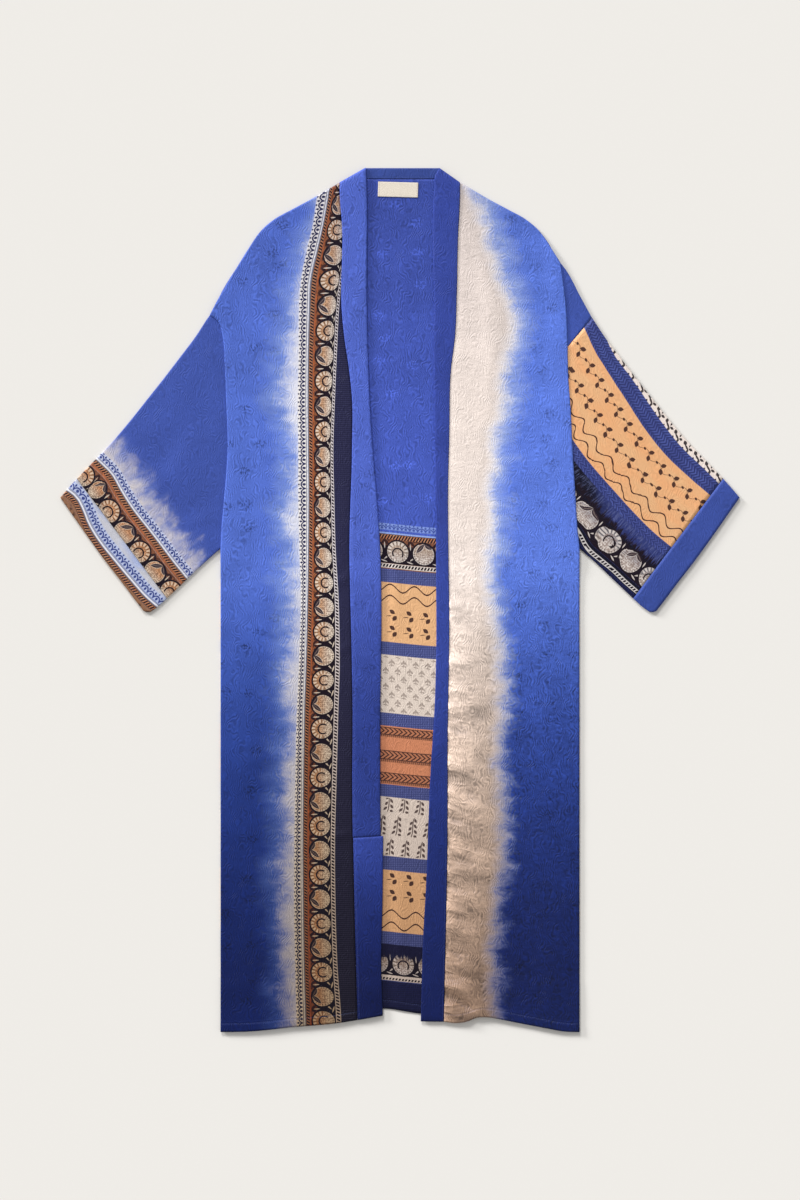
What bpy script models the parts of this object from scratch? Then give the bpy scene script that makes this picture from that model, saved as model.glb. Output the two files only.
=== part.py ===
# A long open-front kimono robe of dyed and block-printed silk, laid flat on its back.
# +Z is up, the neck points to +Y and the wearer's right side lies at -X.
# The tables are in millimetres, and the meshes are made in metres.

import math
from collections import namedtuple

import bmesh
import bpy
from mathutils import Vector

MM = 0.001

# Driving sizes
LENGTH = 1252.0  # from the back neck edge to the lowest hem corner
SPAN = 984.6  # from cuff corner to cuff corner, with the sleeves laid slanting
BODY_WIDTH = 520.0  # flat, between the side seams
WALL = 1.2  # one layer of cloth
HEM_WALL = 1.7  # the cloth turned under along a hem
HEM_DEPTH = 14.0
BAND = 2.6  # the folded front band, several pressed layers
NECK_BAND = 2.0  # the same band where it lies flat under the fronts at the neck
BAND_EDGE = 0.9
BAND_PIECING = -342.0  # the height of the cross seam in the right band
LABEL = 1.0
LABEL_WIDTH = 58.0
LABEL_HEIGHT = 21.5
SEAM = 0.3  # the gap that is left between two pieces
TUCK = 4.0  # how far a sleeve's end reaches in under the front
SLEEVE_FOLD = 1.6  # the outer radius of the pressed folds along a sleeve
NECK_SEAM = 610.5  # where the neck band joins the back
NECK_SEAM_HALF = 75.5

NECK_TOP = LENGTH / 2
HEM_LOW = -LENGTH / 2
CUFF_TIP = SPAN / 2
SIDE = BODY_WIDTH / 2
UNDERARM = 75.0
SLEEVE_HEIGHT = 2 * SLEEVE_FOLD
ON_BACK = WALL + SEAM
ON_NECK_BAND = NECK_BAND + SEAM
ON_SLEEVE = SLEEVE_HEIGHT + SEAM + 0.1
HIGHEST_UNDERSIDE = 4.9  # keeps every gap between two layers under 4 mm

Point = namedtuple("Point", "x y")
Corner = namedtuple("Corner", "x y")  # where an edge turns sharply
Fold = namedtuple("Fold", "x y to_x to_y width height")  # a soft ridge, its half width and its height

# The shoulder and the sleeve's top fold, shared by both sides and given for the wearer's left
SHOULDER = [
    Point(87, 605),
    Point(101.5, 596.6),
    Point(129, 580.5),
    Point(157, 565.5),
    Point(183, 551),
    Point(200, 536.5),
    Point(220.5, 507.5),
    Point(232, 489),
]
SLEEVE_TOP = [
    Point(232, 489),
    Point(264, 435),
    Point(275.5, 413),
    Point(318, 353),
    Point(367, 290),
    Point(414, 232.5),
    Point(446.5, 198.5),
    Point(470, 174),
    Point(CUFF_TIP, 148.6),
]
SLEEVE_UNDER = [
    Point(SIDE, UNDERARM),
    Point(279, 58),
    Point(297.5, 40.6),
    Point(316, 23),
    Point(335, 5),
    Point(354.5, -12.5),
    Point(362, -17.5),
]
CUFF_SEAM = [Point(468, 176), Point(338, 2.5)]
CUFF_EDGE = [
    Point(CUFF_TIP, 148.6),
    Point(453.3, 93),
    Point(428.3, 58.3),
    Point(401.2, 23.4),
    Point(375.5, -10.5),
    Point(370.5, -16.5),
    Point(362, -17.5),
]
HEAD_SEAM = [Point(278.4, 409), Point(238.7, 362.3)]  # the plain strip at the left sleeve's head

# Where each front meets its sleeve, from the shoulder down
ARMHOLE_LEFT = [
    Point(232, 489),
    Corner(236.5, 458),
    Corner(240, 428),
    Point(242.2, 384),
    Point(243.6, 325),
    Point(247, 278),
    Point(250, 215),
    Point(254, 152),
    Point(257, 104),
    Point(SIDE, UNDERARM),
]
ARMHOLE_RIGHT = [
    Point(-275.5, 413),
    Corner(-264, 404),
    Corner(-257, 381),
    Point(-253.8, 338),
    Point(-251.6, 283),
    Point(-249.8, 220),
    Point(-252, 180),
    Point(-255, 146),
    Point(-258, 112),
    Point(-SIDE, UNDERARM),
]

# The seam between each front and its band, from the neck to the hem
BAND_SEAM_RIGHT = [
    Point(-87, 605),
    Point(-86.3, 580),
    Point(-83.7, 548),
    Point(-83.4, 413),
    Point(-80.2, 381),
    Point(-73.4, 335),
    Point(-68.9, 290),
    Point(-68.9, 222),
    Point(-72.8, 72.5),
    Point(-70.3, -43.5),
    Point(-68.2, -158),
    Point(-68.7, -274),
    Point(-67.1, -390),
    Point(-61.6, -608.5),
]
BAND_SEAM_LEFT = [
    Point(87, 605),
    Point(86.6, 580),
    Point(84, 522),
    Point(82.4, 449.5),
    Point(79.8, 381),
    Point(74, 335),
    Point(71.6, 245),
    Point(69.6, 154),
    Point(70.3, 64),
    Point(71.5, -27.5),
    Point(69.2, -210),
    Point(69.2, -312),
    Point(63.8, -611),
]

# The free folded edge of each band, from the neck to the hem
BAND_FOLD_RIGHT = [
    Point(-50, NECK_TOP),
    Point(-48.9, 594.5),
    Point(-48.6, 426),
    Point(-46.4, 335),
    Point(-42, 245),
    Point(-34.8, 154),
    Point(-29.7, 80),
    Point(-27.8, 14.5),
    Point(-29, -158),
    Point(-29, -297),
    Point(-28.5, BAND_PIECING),
]
BAND_FOLD_RIGHT_LOWER = [
    Point(-24.4, BAND_PIECING),
    Point(-25.2, -435),
    Point(-27.1, -529),
    Point(-24.7, -602),
]
BAND_FOLD_LEFT = [
    Point(57, NECK_TOP),
    Point(50.8, 614),
    Point(49.3, 594.5),
    Point(49, 426),
    Point(49, 335),
    Point(50.3, 245),
    Point(51.6, 154),
    Point(52.4, 14),
    Point(52.6, -58),
    Point(50.8, -139),
    Point(43.5, -262),
    Point(37.7, -414),
    Point(33.4, -490),
    Point(30, -610.5),
]

# The hems, from the side seam to the band, and the back's from side to side
HEM_RIGHT = [
    Point(-SIDE, HEM_LOW),
    Point(-217.5, -625),
    Point(-196, -623.2),
    Point(-155, -618.6),
    Point(-125, -616.3),
    Point(-97, -613.8),
    Point(-61.6, -608.5),
]
HEM_LEFT = [
    Point(SIDE, HEM_LOW),
    Point(239, -625.2),
    Point(212, -620.4),
    Point(175, -613.4),
    Point(151, -608.6),
    Point(129, -604.6),
    Point(112, -604.6),
    Point(100, -609.2),
    Point(82, -612.6),
    Point(63.8, -611),
]
HEM_BACK = [
    Point(-SIDE, -624),
    Point(-145, -606),
    Corner(-75, -597),
    Point(-23, -592.3),
    Point(30.5, -599.5),
    Corner(75, -600.5),
    Point(126, -600),
    Point(210, -615),
    Point(SIDE, -624),
]

# Soft ridges that are pressed or fallen into the cloth
FOLDS_FRONT_RIGHT = [
    Fold(-205, 380, -190, 60, 26, 0.9),
    Fold(-148, 490, -132, 120, 20, 1.1),
    Fold(-232, 20, -222, -280, 22, 0.9),
    Fold(-150, 60, -142, -330, 22, 1.0),
    Fold(-245, -236, -95, -224, 22, 0.9),
    Fold(-116, -290, -104, -610, 20, 1.2),
    Fold(-205, -360, -190, -640, 26, 1.4),
]
FOLDS_FRONT_LEFT = [
    Fold(120, 575, 142, 225, 16, 1.5),
    Fold(186, 480, 192, 150, 26, 0.9),
    Fold(120, 130, 132, -190, 22, 1.0),
    Fold(205, 60, 214, -260, 24, 0.9),
    Fold(240, -158, 105, -176, 20, 0.9),
    Fold(60, -84, 100, -92, 12, 1.0),
    Fold(60, -158, 104, -196, 12, 1.2),
    Fold(60, -226, 108, -276, 13, 1.3),
    Fold(58, -318, 116, -372, 14, 1.6),
    Fold(58, -428, 108, -452, 12, 1.2),
    Fold(56, -508, 106, -542, 13, 1.4),
    Fold(54, -562, 110, -604, 14, 1.8),
    Fold(136, -300, 142, -640, 24, 1.3),
    Fold(216, -380, 224, -640, 22, 1.2),
]
FOLDS_BACK = [
    Fold(-6, 105, -8, -85, 9, 1.2),
    Fold(4, 540, 2, 250, 15, 0.9),
    Fold(-2, -330, 2, -640, 11, 1.2),
]
FOLDS_SLEEVE_RIGHT = [
    Fold(-285, 375, -400, 190, 26, 1.3),
    Fold(-280, 250, -375, 120, 22, 1.1),
    Fold(-272, 130, -345, 60, 16, 0.9),
    Fold(-462, 168, -432, 130, 15, 0.8),
    Fold(-402, 92, -378, 56, 15, 0.9),
]
FOLDS_SLEEVE_LEFT = [
    Fold(272, 330, 395, 200, 24, 1.4),
    Fold(262, 250, 372, 120, 22, 1.2),
    Fold(268, 130, 345, 52, 16, 0.9),
    Fold(330, 300, 440, 168, 18, 0.9),
    Fold(452, 158, 422, 112, 15, 0.8),
]
FOLDS_BAND = [
    Fold(-58, 330, -50, 150, 24, 0.5),
    Fold(-50, -20, -50, -210, 24, 0.5),
    Fold(64, 520, 64, 380, 24, 0.5),
    Fold(60, -250, 52, -420, 24, 0.5),
]

# Where the grids are cut. A knot is the share of an edge at which its corner lies.
SIDE_KNOT = 0.565
BACK_SIDE_KNOTS = (0.56, 0.57, 0.94, 0.975)
NECK_KNOTS = (0.36, 0.68)
ROWS_RIGHT = (26, 20)  # below and above the underarm
ROWS_LEFT = (50, 20)
PIECING_ROW = 10  # the row of the right front where its band is pieced
ROWS_BACK = (16, 1, 11, 1, 1)
COLUMNS_BACK = (5, 15, 5)
COLUMNS_FRONT = (0, 0.03, 0.09, 0.17, 0.26, 0.35, 0.44, 0.53, 0.62, 0.71, 0.79, 0.87, 0.94, 1)
ROWS_SLEEVE = (0, 0.025, 0.09, 0.18, 0.27, 0.36, 0.45, 0.54, 0.63, 0.72, 0.81, 0.9, 1)
ROWS_CUFF = (0, 0.33, 0.67, 1)
COLUMNS_SLEEVE = (0.04, 0.12, 0.22, 0.33, 0.44, 0.55, 0.66, 0.77, 0.87, 0.93, 0.97)
HEAD_KNOT = 0.22  # where the left sleeve's opening leaves the plain strip

BLUE = (0.045, 0.085, 0.48)
DIPPED_BLUE = (0.10, 0.17, 0.55)
CREAM = (0.62, 0.50, 0.40)
PRINT = (0.30, 0.22, 0.17)
IVORY = (0.80, 0.76, 0.66)


# Edges and surfaces


def smooth_step(value):
    value = max(0.0, min(1.0, value))
    return value * value * (3 - 2 * value)


def mirrored(points):
    return [type(p)(-p.x, p.y) for p in points]


def moved(points, across):
    return [type(p)(p.x + across, p.y) for p in points]


def softened(points):
    """The same edge with its corners rounded."""
    return [Point(*p) for p in points]


def backwards(points):
    return list(reversed(points))


def stations(knots, counts):
    """Shares from 0 to 1 with an even run between two knots."""
    limits = [0, *knots, 1]
    shares = [0.0]
    for low, high, count in zip(limits, limits[1:], counts):
        shares += [low + (high - low) * i / count for i in range(1, count + 1)]
    return shares


def shares_along(points, knots=()):
    """The share of the edge at which each point lies, with the corners at the knots."""
    run = [0.0]
    for a, b in zip(points, points[1:]):
        run.append(run[-1] + math.dist(a, b))
    corners = [run[i] for i, p in enumerate(points) if isinstance(p, Corner)]
    knots = knots if corners else ()
    limits = [0.0, *corners, run[-1]]
    targets = [0.0, *knots, 1.0]
    shares = []
    for length in run:
        k = max(i for i in range(len(limits) - 1) if limits[i] <= length)
        part = (length - limits[k]) / (limits[k + 1] - limits[k])
        shares.append(targets[k] + (targets[k + 1] - targets[k]) * part)
    return shares


def edge_curve(points, knots=()):
    """A smooth curve through the points, as a function of the share of the edge."""
    at = shares_along(points, knots)
    places = [Vector(p) for p in points]
    slopes = [(b - a) / (t1 - t0) for a, b, t0, t1 in zip(places, places[1:], at, at[1:])]
    arriving = [slopes[0]]
    leaving = [slopes[0]]
    for i in range(1, len(points) - 1):
        before, after = slopes[i - 1], slopes[i]
        if isinstance(points[i], Corner):
            arriving.append(before)
            leaving.append(after)
            continue
        behind, ahead = at[i] - at[i - 1], at[i + 1] - at[i]
        tangent = (before * ahead + after * behind) / (ahead + behind)
        arriving.append(tangent)
        leaving.append(tangent)
    arriving.append(slopes[-1])

    def curve(share):
        share = max(0.0, min(1.0, share))
        i = max(k for k in range(len(slopes)) if at[k] <= share)
        span = at[i + 1] - at[i]
        t = (share - at[i]) / span
        return (
            places[i] * (2 * t**3 - 3 * t**2 + 1)
            + leaving[i] * (span * (t**3 - 2 * t**2 + t))
            + places[i + 1] * (3 * t**2 - 2 * t**3)
            + arriving[i + 1] * (span * (t**3 - t**2))
        )

    return curve


def panel_between(near, far, start, end, along_knots=(), across_knots=()):
    """The flat place of each share on a panel. near and far run along it, start and end across it."""
    near, far = edge_curve(near, along_knots), edge_curve(far, along_knots)
    start, end = edge_curve(start, across_knots), edge_curve(end, across_knots)
    corners = start(0), start(1), end(0), end(1)

    def place(across, along):
        ruled = near(along).lerp(far(along), across)
        crossed = start(across).lerp(end(across), along)
        low = corners[0].lerp(corners[1], across)
        high = corners[2].lerp(corners[3], across)
        return ruled + crossed - low.lerp(high, along)

    return place


def ridges(folds, x, y):
    """How far the folds lift the cloth at one place."""
    lift = 0.0
    for fold in folds:
        run = Vector((fold.to_x - fold.x, fold.to_y - fold.y))
        offset = Vector((x - fold.x, y - fold.y))
        share = offset.dot(run) / run.length_squared
        if 0 < share < 1:
            away = (offset - run * share).length / fold.width
            lift += fold.height * math.sin(math.pi * share) * math.exp(-(away**2))
    return lift


# Making solids


def clear_scene():
    for obj in list(bpy.data.objects):
        bpy.data.objects.remove(obj)


def cloth_material(name, colour):
    material = bpy.data.materials.new(name)
    material.use_nodes = True
    shader = material.node_tree.nodes["Principled BSDF"]
    shader.inputs["Base Color"].default_value = (*colour, 1)
    shader.inputs["Roughness"].default_value = 0.45
    shader.inputs["Metallic"].default_value = 0.0
    return material


def cloth_mesh(across, along, place):
    """A grid with a column for each value in across and a row for each in along, put in place."""
    columns, rows = len(across) - 1, len(along) - 1
    bm = bmesh.new()
    bmesh.ops.create_grid(bm, x_segments=columns, y_segments=rows, size=0.5)
    for vert in bm.verts:
        i = round((vert.co.x + 0.5) * columns)
        j = round((vert.co.y + 0.5) * rows)
        vert.co = Vector(place(across[i], along[j])) * MM
    return bm


def make_part(name, bm, material):
    mesh = bpy.data.meshes.new(name)
    bm.to_mesh(mesh)
    bm.free()
    mesh.materials.append(material)
    mesh.shade_smooth()
    obj = bpy.data.objects.new(name, mesh)
    robe.objects.link(obj)
    return obj


def give_wall(obj, thickness, outwards=True):
    """Turns the open surface into a wall, on the side that its faces point to or on the other."""
    wall = obj.modifiers.new("wall", "SOLIDIFY")
    wall.thickness = thickness * MM
    wall.offset = 1.0 if outwards else -1.0
    wall.use_even_offset = True
    return wall


def round_edges(obj, width):
    bevel = obj.modifiers.new("pressed edge", "BEVEL")
    bevel.width = width * MM
    bevel.segments = 1
    bevel.limit_method = "ANGLE"
    bevel.angle_limit = math.radians(50)


# The body


def front_underside(x, y, edge, armhole_top, folds):
    """The height of a front's lower face, at a distance from its armhole edge."""
    beside_sleeve = smooth_step((y - UNDERARM + 50) / 40)
    over_sleeve = (ON_SLEEVE - ON_BACK) * (1 - smooth_step((edge - 8) / 45)) * beside_sleeve
    below_shoulder = smooth_step((armhole_top + 110 - y) / 200)
    air = 0.8 * smooth_step(edge / 60) * below_shoulder
    fallen = ridges(folds, x, y) * smooth_step((edge + 12) / 40)
    hem_step = (HEM_WALL - WALL) * (1 - smooth_step((y + 560) / 20))
    return min(HIGHEST_UNDERSIDE, ON_BACK + hem_step + over_sleeve + air + fallen)


def add_hem(obj, height_of_hem):
    """Thickens the wall in the rows that are turned under."""
    hem = obj.vertex_groups.new(name="hem")
    for vert in obj.data.vertices:
        weight = 1.0 if height_of_hem(vert.index) else WALL / HEM_WALL
        hem.add([vert.index], weight, "REPLACE")
    wall = give_wall(obj, HEM_WALL)
    wall.vertex_group = "hem"
    return wall


def front_panel(name, side, armhole, band_seam, hem, folds, rows, material):
    """One front, from the side seam and armhole to the seam of its band."""
    shoulder = SHOULDER if side > 0 else mirrored(SHOULDER) + [Point(-264, 435), armhole[0]]
    inner = moved(band_seam, side * SEAM / 2)
    outer = [*softened(armhole[:-1]), Corner(*armhole[-1]), Point(armhole[-1].x, hem[0].y)]
    hem = [*hem[:-1], inner[-1]]
    shoulder = [inner[0], *shoulder[1:]]
    place_flat = panel_between(
        backwards(outer), backwards(inner), hem, backwards(shoulder), along_knots=(SIDE_KNOT,)
    )

    def place(across, along):
        x, y = place_flat(across, along)
        edge = (place_flat(0, along) - Vector((x, y))).length
        return x, y, front_underside(x, y, edge, armhole[0].y, folds)

    turned = HEM_DEPTH / (NECK_TOP - HEM_LOW)
    above = [share for share in stations((SIDE_KNOT,), rows) if share > 1.6 * turned]
    along = [0, turned, turned * 1.2, *above]
    obj = make_part(name, cloth_mesh(COLUMNS_FRONT, along, place), material)
    wall = add_hem(obj, lambda index: index < 2 * len(COLUMNS_FRONT))
    wall.offset = -side
    return obj


def back_side(armhole, side):
    """The back's edge beside a sleeve's open end, and down the side seam."""
    inset = side * (TUCK + 4 * SEAM)
    beside_sleeve = moved(armhole[:-1], -inset)
    under_sleeve = Corner(side * SIDE - inset, UNDERARM + 2)
    below = Corner(side * SIDE, UNDERARM - 4)
    return [*beside_sleeve, under_sleeve, below, Point(side * SIDE, HEM_BACK[0].y)]


def back_panel(material):
    """The back, which lies flat, with a straight neck seam between its two shoulders."""
    right, left = back_side(ARMHOLE_RIGHT, -1), back_side(ARMHOLE_LEFT, 1)
    top = [
        right[0],
        Point(-264, 434),
        *backwards(mirrored(SHOULDER)),
        Corner(-NECK_SEAM_HALF, NECK_SEAM - SEAM),
        Corner(NECK_SEAM_HALF, NECK_SEAM - SEAM),
        *SHOULDER[:-1],
        left[0],
    ]
    place_flat = panel_between(
        backwards(right), backwards(left), HEM_BACK, top, BACK_SIDE_KNOTS, NECK_KNOTS
    )

    def place(across, along):
        x, y = place_flat(across, along)
        return x, y, ridges(FOLDS_BACK, x, y)

    columns, rows = stations(NECK_KNOTS, COLUMNS_BACK), stations(BACK_SIDE_KNOTS, ROWS_BACK)
    give_wall(make_part("back", cloth_mesh(columns, rows, place), material), WALL)


# The bands


def band_underside(x, y):
    """The band lies on the back, and climbs over the neck band at its top."""
    over_neck = (ON_NECK_BAND - ON_BACK) * smooth_step((y - 535) / 45)
    hem_step = (HEM_WALL - WALL) * (1 - smooth_step((y + 560) / 20))
    return ON_BACK + over_neck + hem_step + ridges(FOLDS_BAND, x, y)


def band_strip(name, side, seam, fold, seam_shares, material):
    """A stretch of band between its seam and its free edge, with a row for each of the seam's shares."""
    seam_curve, fold_curve = edge_curve(backwards(seam)), edge_curve(backwards(fold))
    low, high = seam_shares[0], seam_shares[-1]

    def place(across, share):
        on_fold = fold_curve((share - low) / (high - low))
        x, y = seam_curve(share).lerp(on_fold, across)
        return x, y, band_underside(x, y)

    obj = make_part(name, cloth_mesh((0, 0.5, 1), seam_shares, place), material)
    give_wall(obj, BAND, outwards=side < 0)
    round_edges(obj, BAND_EDGE)


def bands(material):
    """The right band in its two pieces, and the left one in one."""
    seam = moved(BAND_SEAM_RIGHT, SEAM / 2)
    shares = stations((SIDE_KNOT,), ROWS_RIGHT)
    gap = SEAM / 2 / (seam[0].y - seam[-1].y)
    piecing = shares[PIECING_ROW]
    upper = [piecing + gap, *shares[PIECING_ROW + 1 :]]
    lower = [*shares[:PIECING_ROW], piecing - gap]
    band_strip("band_right", -1, seam, BAND_FOLD_RIGHT, upper, material)
    band_strip("band_right_lower", -1, seam, BAND_FOLD_RIGHT_LOWER, lower, material)
    shares = stations((SIDE_KNOT,), ROWS_LEFT)
    band_strip("band_left", 1, moved(BAND_SEAM_LEFT, -SEAM / 2), BAND_FOLD_LEFT, shares, material)


def neck_band(material):
    """The band across the back neck, cut off slanting where it turns over the shoulders."""
    right = [Point(-NECK_SEAM_HALF, NECK_SEAM), BAND_FOLD_RIGHT[0]]
    left = [Point(NECK_SEAM_HALF, NECK_SEAM), BAND_FOLD_LEFT[0]]
    place_flat = panel_between(right, left, [right[0], left[0]], [right[1], left[1]])

    def place(across, along):
        return *place_flat(across, along), 0.0

    bm = cloth_mesh(stations((), (8,)), (0, 0.5, 1), place)
    give_wall(make_part("band_neck", bm, material), NECK_BAND)


def label(material):
    """The woven label below the neck seam, left plain."""
    bm = bmesh.new()
    bmesh.ops.create_cube(bm, size=MM)
    bmesh.ops.scale(bm, vec=(LABEL_WIDTH, LABEL_HEIGHT, LABEL), verts=bm.verts)
    tag = make_part("label", bm, material)
    tag.location = Vector((-2.9, 594.8, ON_BACK + LABEL / 2)) * MM
    tag.rotation_euler.z = math.radians(-1.5)
    tag.data.shade_flat()


# The sleeves


def pressed_fold():
    """The turn of a flattened tube at its edge: how far in each point is, and its share of the height."""
    turns = [math.radians(a) for a in (-90, -35, 35, 90)]
    return [(SLEEVE_FOLD * (1 - math.cos(a)), 0.5 + 0.5 * math.sin(a)) for a in turns]


def tube_ring(width):
    """Shares across a flattened tube of one width, with the share of its height at each."""
    fold = [(inset / width, rise) for inset, rise in pressed_fold()]
    upper = [(share, 1.0) for share in COLUMNS_SLEEVE]
    far_fold = [(1 - share, rise) for share, rise in backwards(fold)]
    lower = [(share, 0.0) for share in backwards(COLUMNS_SLEEVE)]
    return [*fold, *upper, *far_fold, *lower, fold[0]]


def folded_strip(width):
    """The same over one fold only: from the lower face round the fold to the upper face."""
    fold = [(inset / width, rise) for inset, rise in pressed_fold()]
    face = [fold[0][0] + (1 - fold[0][0]) * i / 4 for i in range(1, 5)]
    lower = [(share, 0.0) for share in backwards(face)]
    return [*lower, *fold, *((share, 1.0) for share in face)]


def sleeve_puff(share, along, folds, x, y):
    """How far a sleeve's upper face stands above its pressed edges."""
    between_folds = math.sin(math.pi * min(1.0, max(0.0, share))) ** 0.7
    clear_of_armhole = smooth_step(along / 0.12)
    towards_cuff = 0.5 + 0.5 * smooth_step((1.1 - along) / 0.3)
    return between_folds * clear_of_armhole * towards_cuff * (0.7 + ridges(folds, x, y))


def flat_tube(name, top, under, start, end, folds, rows, reach, material):
    """A stretch of sleeve pressed flat, between its top fold and its underarm, open at both ends."""
    place_flat = panel_between(top, under, start, end, across_knots=(HEAD_KNOT,))

    def place(index, along):
        width = (place_flat(0, along) - place_flat(1, along)).length
        share, rise = tube_ring(width)[index]
        x, y = place_flat(share, along)
        z = rise * SLEEVE_HEIGHT
        if rise == 1.0:
            z += sleeve_puff(share, reach[0] + (reach[1] - reach[0]) * along, folds, x, y)
        return x, y, z

    bm = cloth_mesh(range(len(tube_ring(100))), rows, place)
    bmesh.ops.remove_doubles(bm, verts=bm.verts, dist=1e-7)
    bmesh.ops.recalc_face_normals(bm, faces=bm.faces)
    give_wall(make_part(name, bm, material), WALL, outwards=False)


def share_nearest(points, target):
    curve = edge_curve(points)
    return min((i / 500 for i in range(501)), key=lambda s: (curve(s) - Vector(target)).length)


def edge_stretch(points, low, high, steps):
    """Points along a part of an edge, between two shares of it."""
    curve = edge_curve(points)
    return [Point(*curve(low + (high - low) * i / steps)) for i in range(steps + 1)]


def nudged(point, towards, distance):
    step = (Vector(towards) - Vector(point)).normalized() * distance
    return Point(point.x + step.x, point.y + step.y)


def parted(points, seam_share, steps):
    """An edge in its two stretches, before and after the cuff's seam, with the seam's gap between."""
    before = edge_stretch(points, 0, seam_share, steps)
    after = edge_stretch(points, seam_share, 1, 3)
    before[-1] = nudged(before[-1], before[-2], SEAM / 2)
    after[0] = nudged(after[0], after[1], SEAM / 2)
    return before, after


def from_opening(point, edge):
    """The edge with the opening's end as its first point, and nothing that lies before it."""
    return [point, *(p for p in edge if math.dist(p, point) > TUCK / 2)]


def sleeve(side, opening, top_start, names, folds, materials):
    """One sleeve and its cuff, from the opening that lies under the front."""
    flip = mirrored if side < 0 else list
    top, under = flip(SLEEVE_TOP), flip(SLEEVE_UNDER)
    top = edge_stretch(top, share_nearest(top, top_start), 1, 12)
    seam_top, seam_under = flip(CUFF_SEAM)
    top, cuff_top = parted(top, share_nearest(top, seam_top), 8)
    under, cuff_under = parted(under, share_nearest(under, seam_under), 4)
    top, under = from_opening(opening[0], top), from_opening(opening[-1], under)
    name, cuff_name = names
    material, cuff_material = materials
    end, cuff_start = [top[-1], under[-1]], [cuff_top[0], cuff_under[0]]
    flat_tube(name, top, under, opening, end, folds, ROWS_SLEEVE, (0, 1), material)
    cuff_end = flip(CUFF_EDGE)
    reach = (1, 1.2)  # the cuff carries the sleeve's puff on past its end
    flat_tube(
        cuff_name, cuff_top, cuff_under, cuff_start, cuff_end, folds, ROWS_CUFF, reach, cuff_material
    )


def tucked_opening(armhole, side):
    """The sleeve's end, moved in under the front's armhole edge."""
    inner = softened(moved(armhole, -side * TUCK))
    return [*inner[:-1], Point(inner[-1].x, UNDERARM + 4)]


def sleeves(printed, plain, dipped):
    right = tucked_opening(ARMHOLE_RIGHT, -1)
    names = "sleeve_right", "cuff_right"
    sleeve(-1, right, ARMHOLE_RIGHT[0], names, FOLDS_SLEEVE_RIGHT, (dipped, printed))
    left = tucked_opening(ARMHOLE_LEFT, 1)
    names = "sleeve_left", "cuff_left"
    head_top, head_low = HEAD_SEAM
    beside_head = Point(head_top.x + SEAM * 0.8, head_top.y - SEAM * 0.7)
    below_head = Corner(head_low.x + SEAM, head_low.y - SEAM)
    opening = [beside_head, below_head, *(p for p in left if p.y < head_low.y - 15)]
    sleeve(1, opening, head_top, names, FOLDS_SLEEVE_LEFT, (printed, plain))
    sleeve_head(left, plain)


def sleeve_head(opening, material):
    """The plain strip between the left armhole and the print, folded over the sleeve's top edge."""
    low = Point(HEAD_SEAM[1].x - 0.3, HEAD_SEAM[1].y + 4)
    start = [Point(opening[0].x, opening[0].y + 4), *(p for p in opening[1:] if p.y > low.y + 5), low]
    top = [start[0], SLEEVE_TOP[0], SLEEVE_TOP[1], HEAD_SEAM[0]]
    place_flat = panel_between(top, [low, HEAD_SEAM[1]], start, HEAD_SEAM)

    def place(index, along):
        width = (place_flat(0, along) - place_flat(1, along)).length
        share, rise = folded_strip(width)[index]
        x, y = place_flat(share, along)
        return x, y, rise * SLEEVE_HEIGHT

    bm = cloth_mesh(range(len(folded_strip(100))), stations((), (5,)), place)
    give_wall(make_part("sleeve_left_head", bm, material), WALL, outwards=False)


def build():
    blue = cloth_material("blue silk", BLUE)
    dipped = cloth_material("dipped blue silk", DIPPED_BLUE)
    cream = cloth_material("cream and blue silk", CREAM)
    printed = cloth_material("block-printed silk", PRINT)
    ivory = cloth_material("label tape", IVORY)
    back_panel(printed)
    front_panel(
        "front_right", -1, ARMHOLE_RIGHT, BAND_SEAM_RIGHT, HEM_RIGHT, FOLDS_FRONT_RIGHT, ROWS_RIGHT, dipped
    )
    front_panel("front_left", 1, ARMHOLE_LEFT, BAND_SEAM_LEFT, HEM_LEFT, FOLDS_FRONT_LEFT, ROWS_LEFT, cream)
    bands(blue)
    neck_band(blue)
    label(ivory)
    sleeves(printed, blue, dipped)


clear_scene()
robe = bpy.data.collections.new("kimono robe")
bpy.context.scene.collection.children.link(robe)
build()
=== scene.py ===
# A long open-front kimono robe of dip-dyed and block-printed silk, laid flat, seen from straight above.
# The tables are in millimetres, and the meshes are made in metres. +Z is up and the neck points to +Y.
import math
from collections import namedtuple
from functools import lru_cache, reduce

import bmesh
import bpy
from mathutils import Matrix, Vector, noise


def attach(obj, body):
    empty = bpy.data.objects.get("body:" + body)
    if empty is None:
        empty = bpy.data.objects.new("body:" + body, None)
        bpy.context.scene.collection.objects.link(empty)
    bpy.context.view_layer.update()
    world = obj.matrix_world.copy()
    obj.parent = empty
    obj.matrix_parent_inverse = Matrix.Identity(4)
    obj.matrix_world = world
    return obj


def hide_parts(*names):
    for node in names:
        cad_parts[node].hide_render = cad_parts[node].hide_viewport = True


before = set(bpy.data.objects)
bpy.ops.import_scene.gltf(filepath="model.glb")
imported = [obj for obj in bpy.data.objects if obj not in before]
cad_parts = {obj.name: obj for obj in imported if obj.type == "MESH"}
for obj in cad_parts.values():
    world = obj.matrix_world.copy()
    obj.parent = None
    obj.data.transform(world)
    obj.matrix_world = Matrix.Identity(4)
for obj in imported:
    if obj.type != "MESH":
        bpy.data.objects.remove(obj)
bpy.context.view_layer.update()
mm = 0.001

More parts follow.
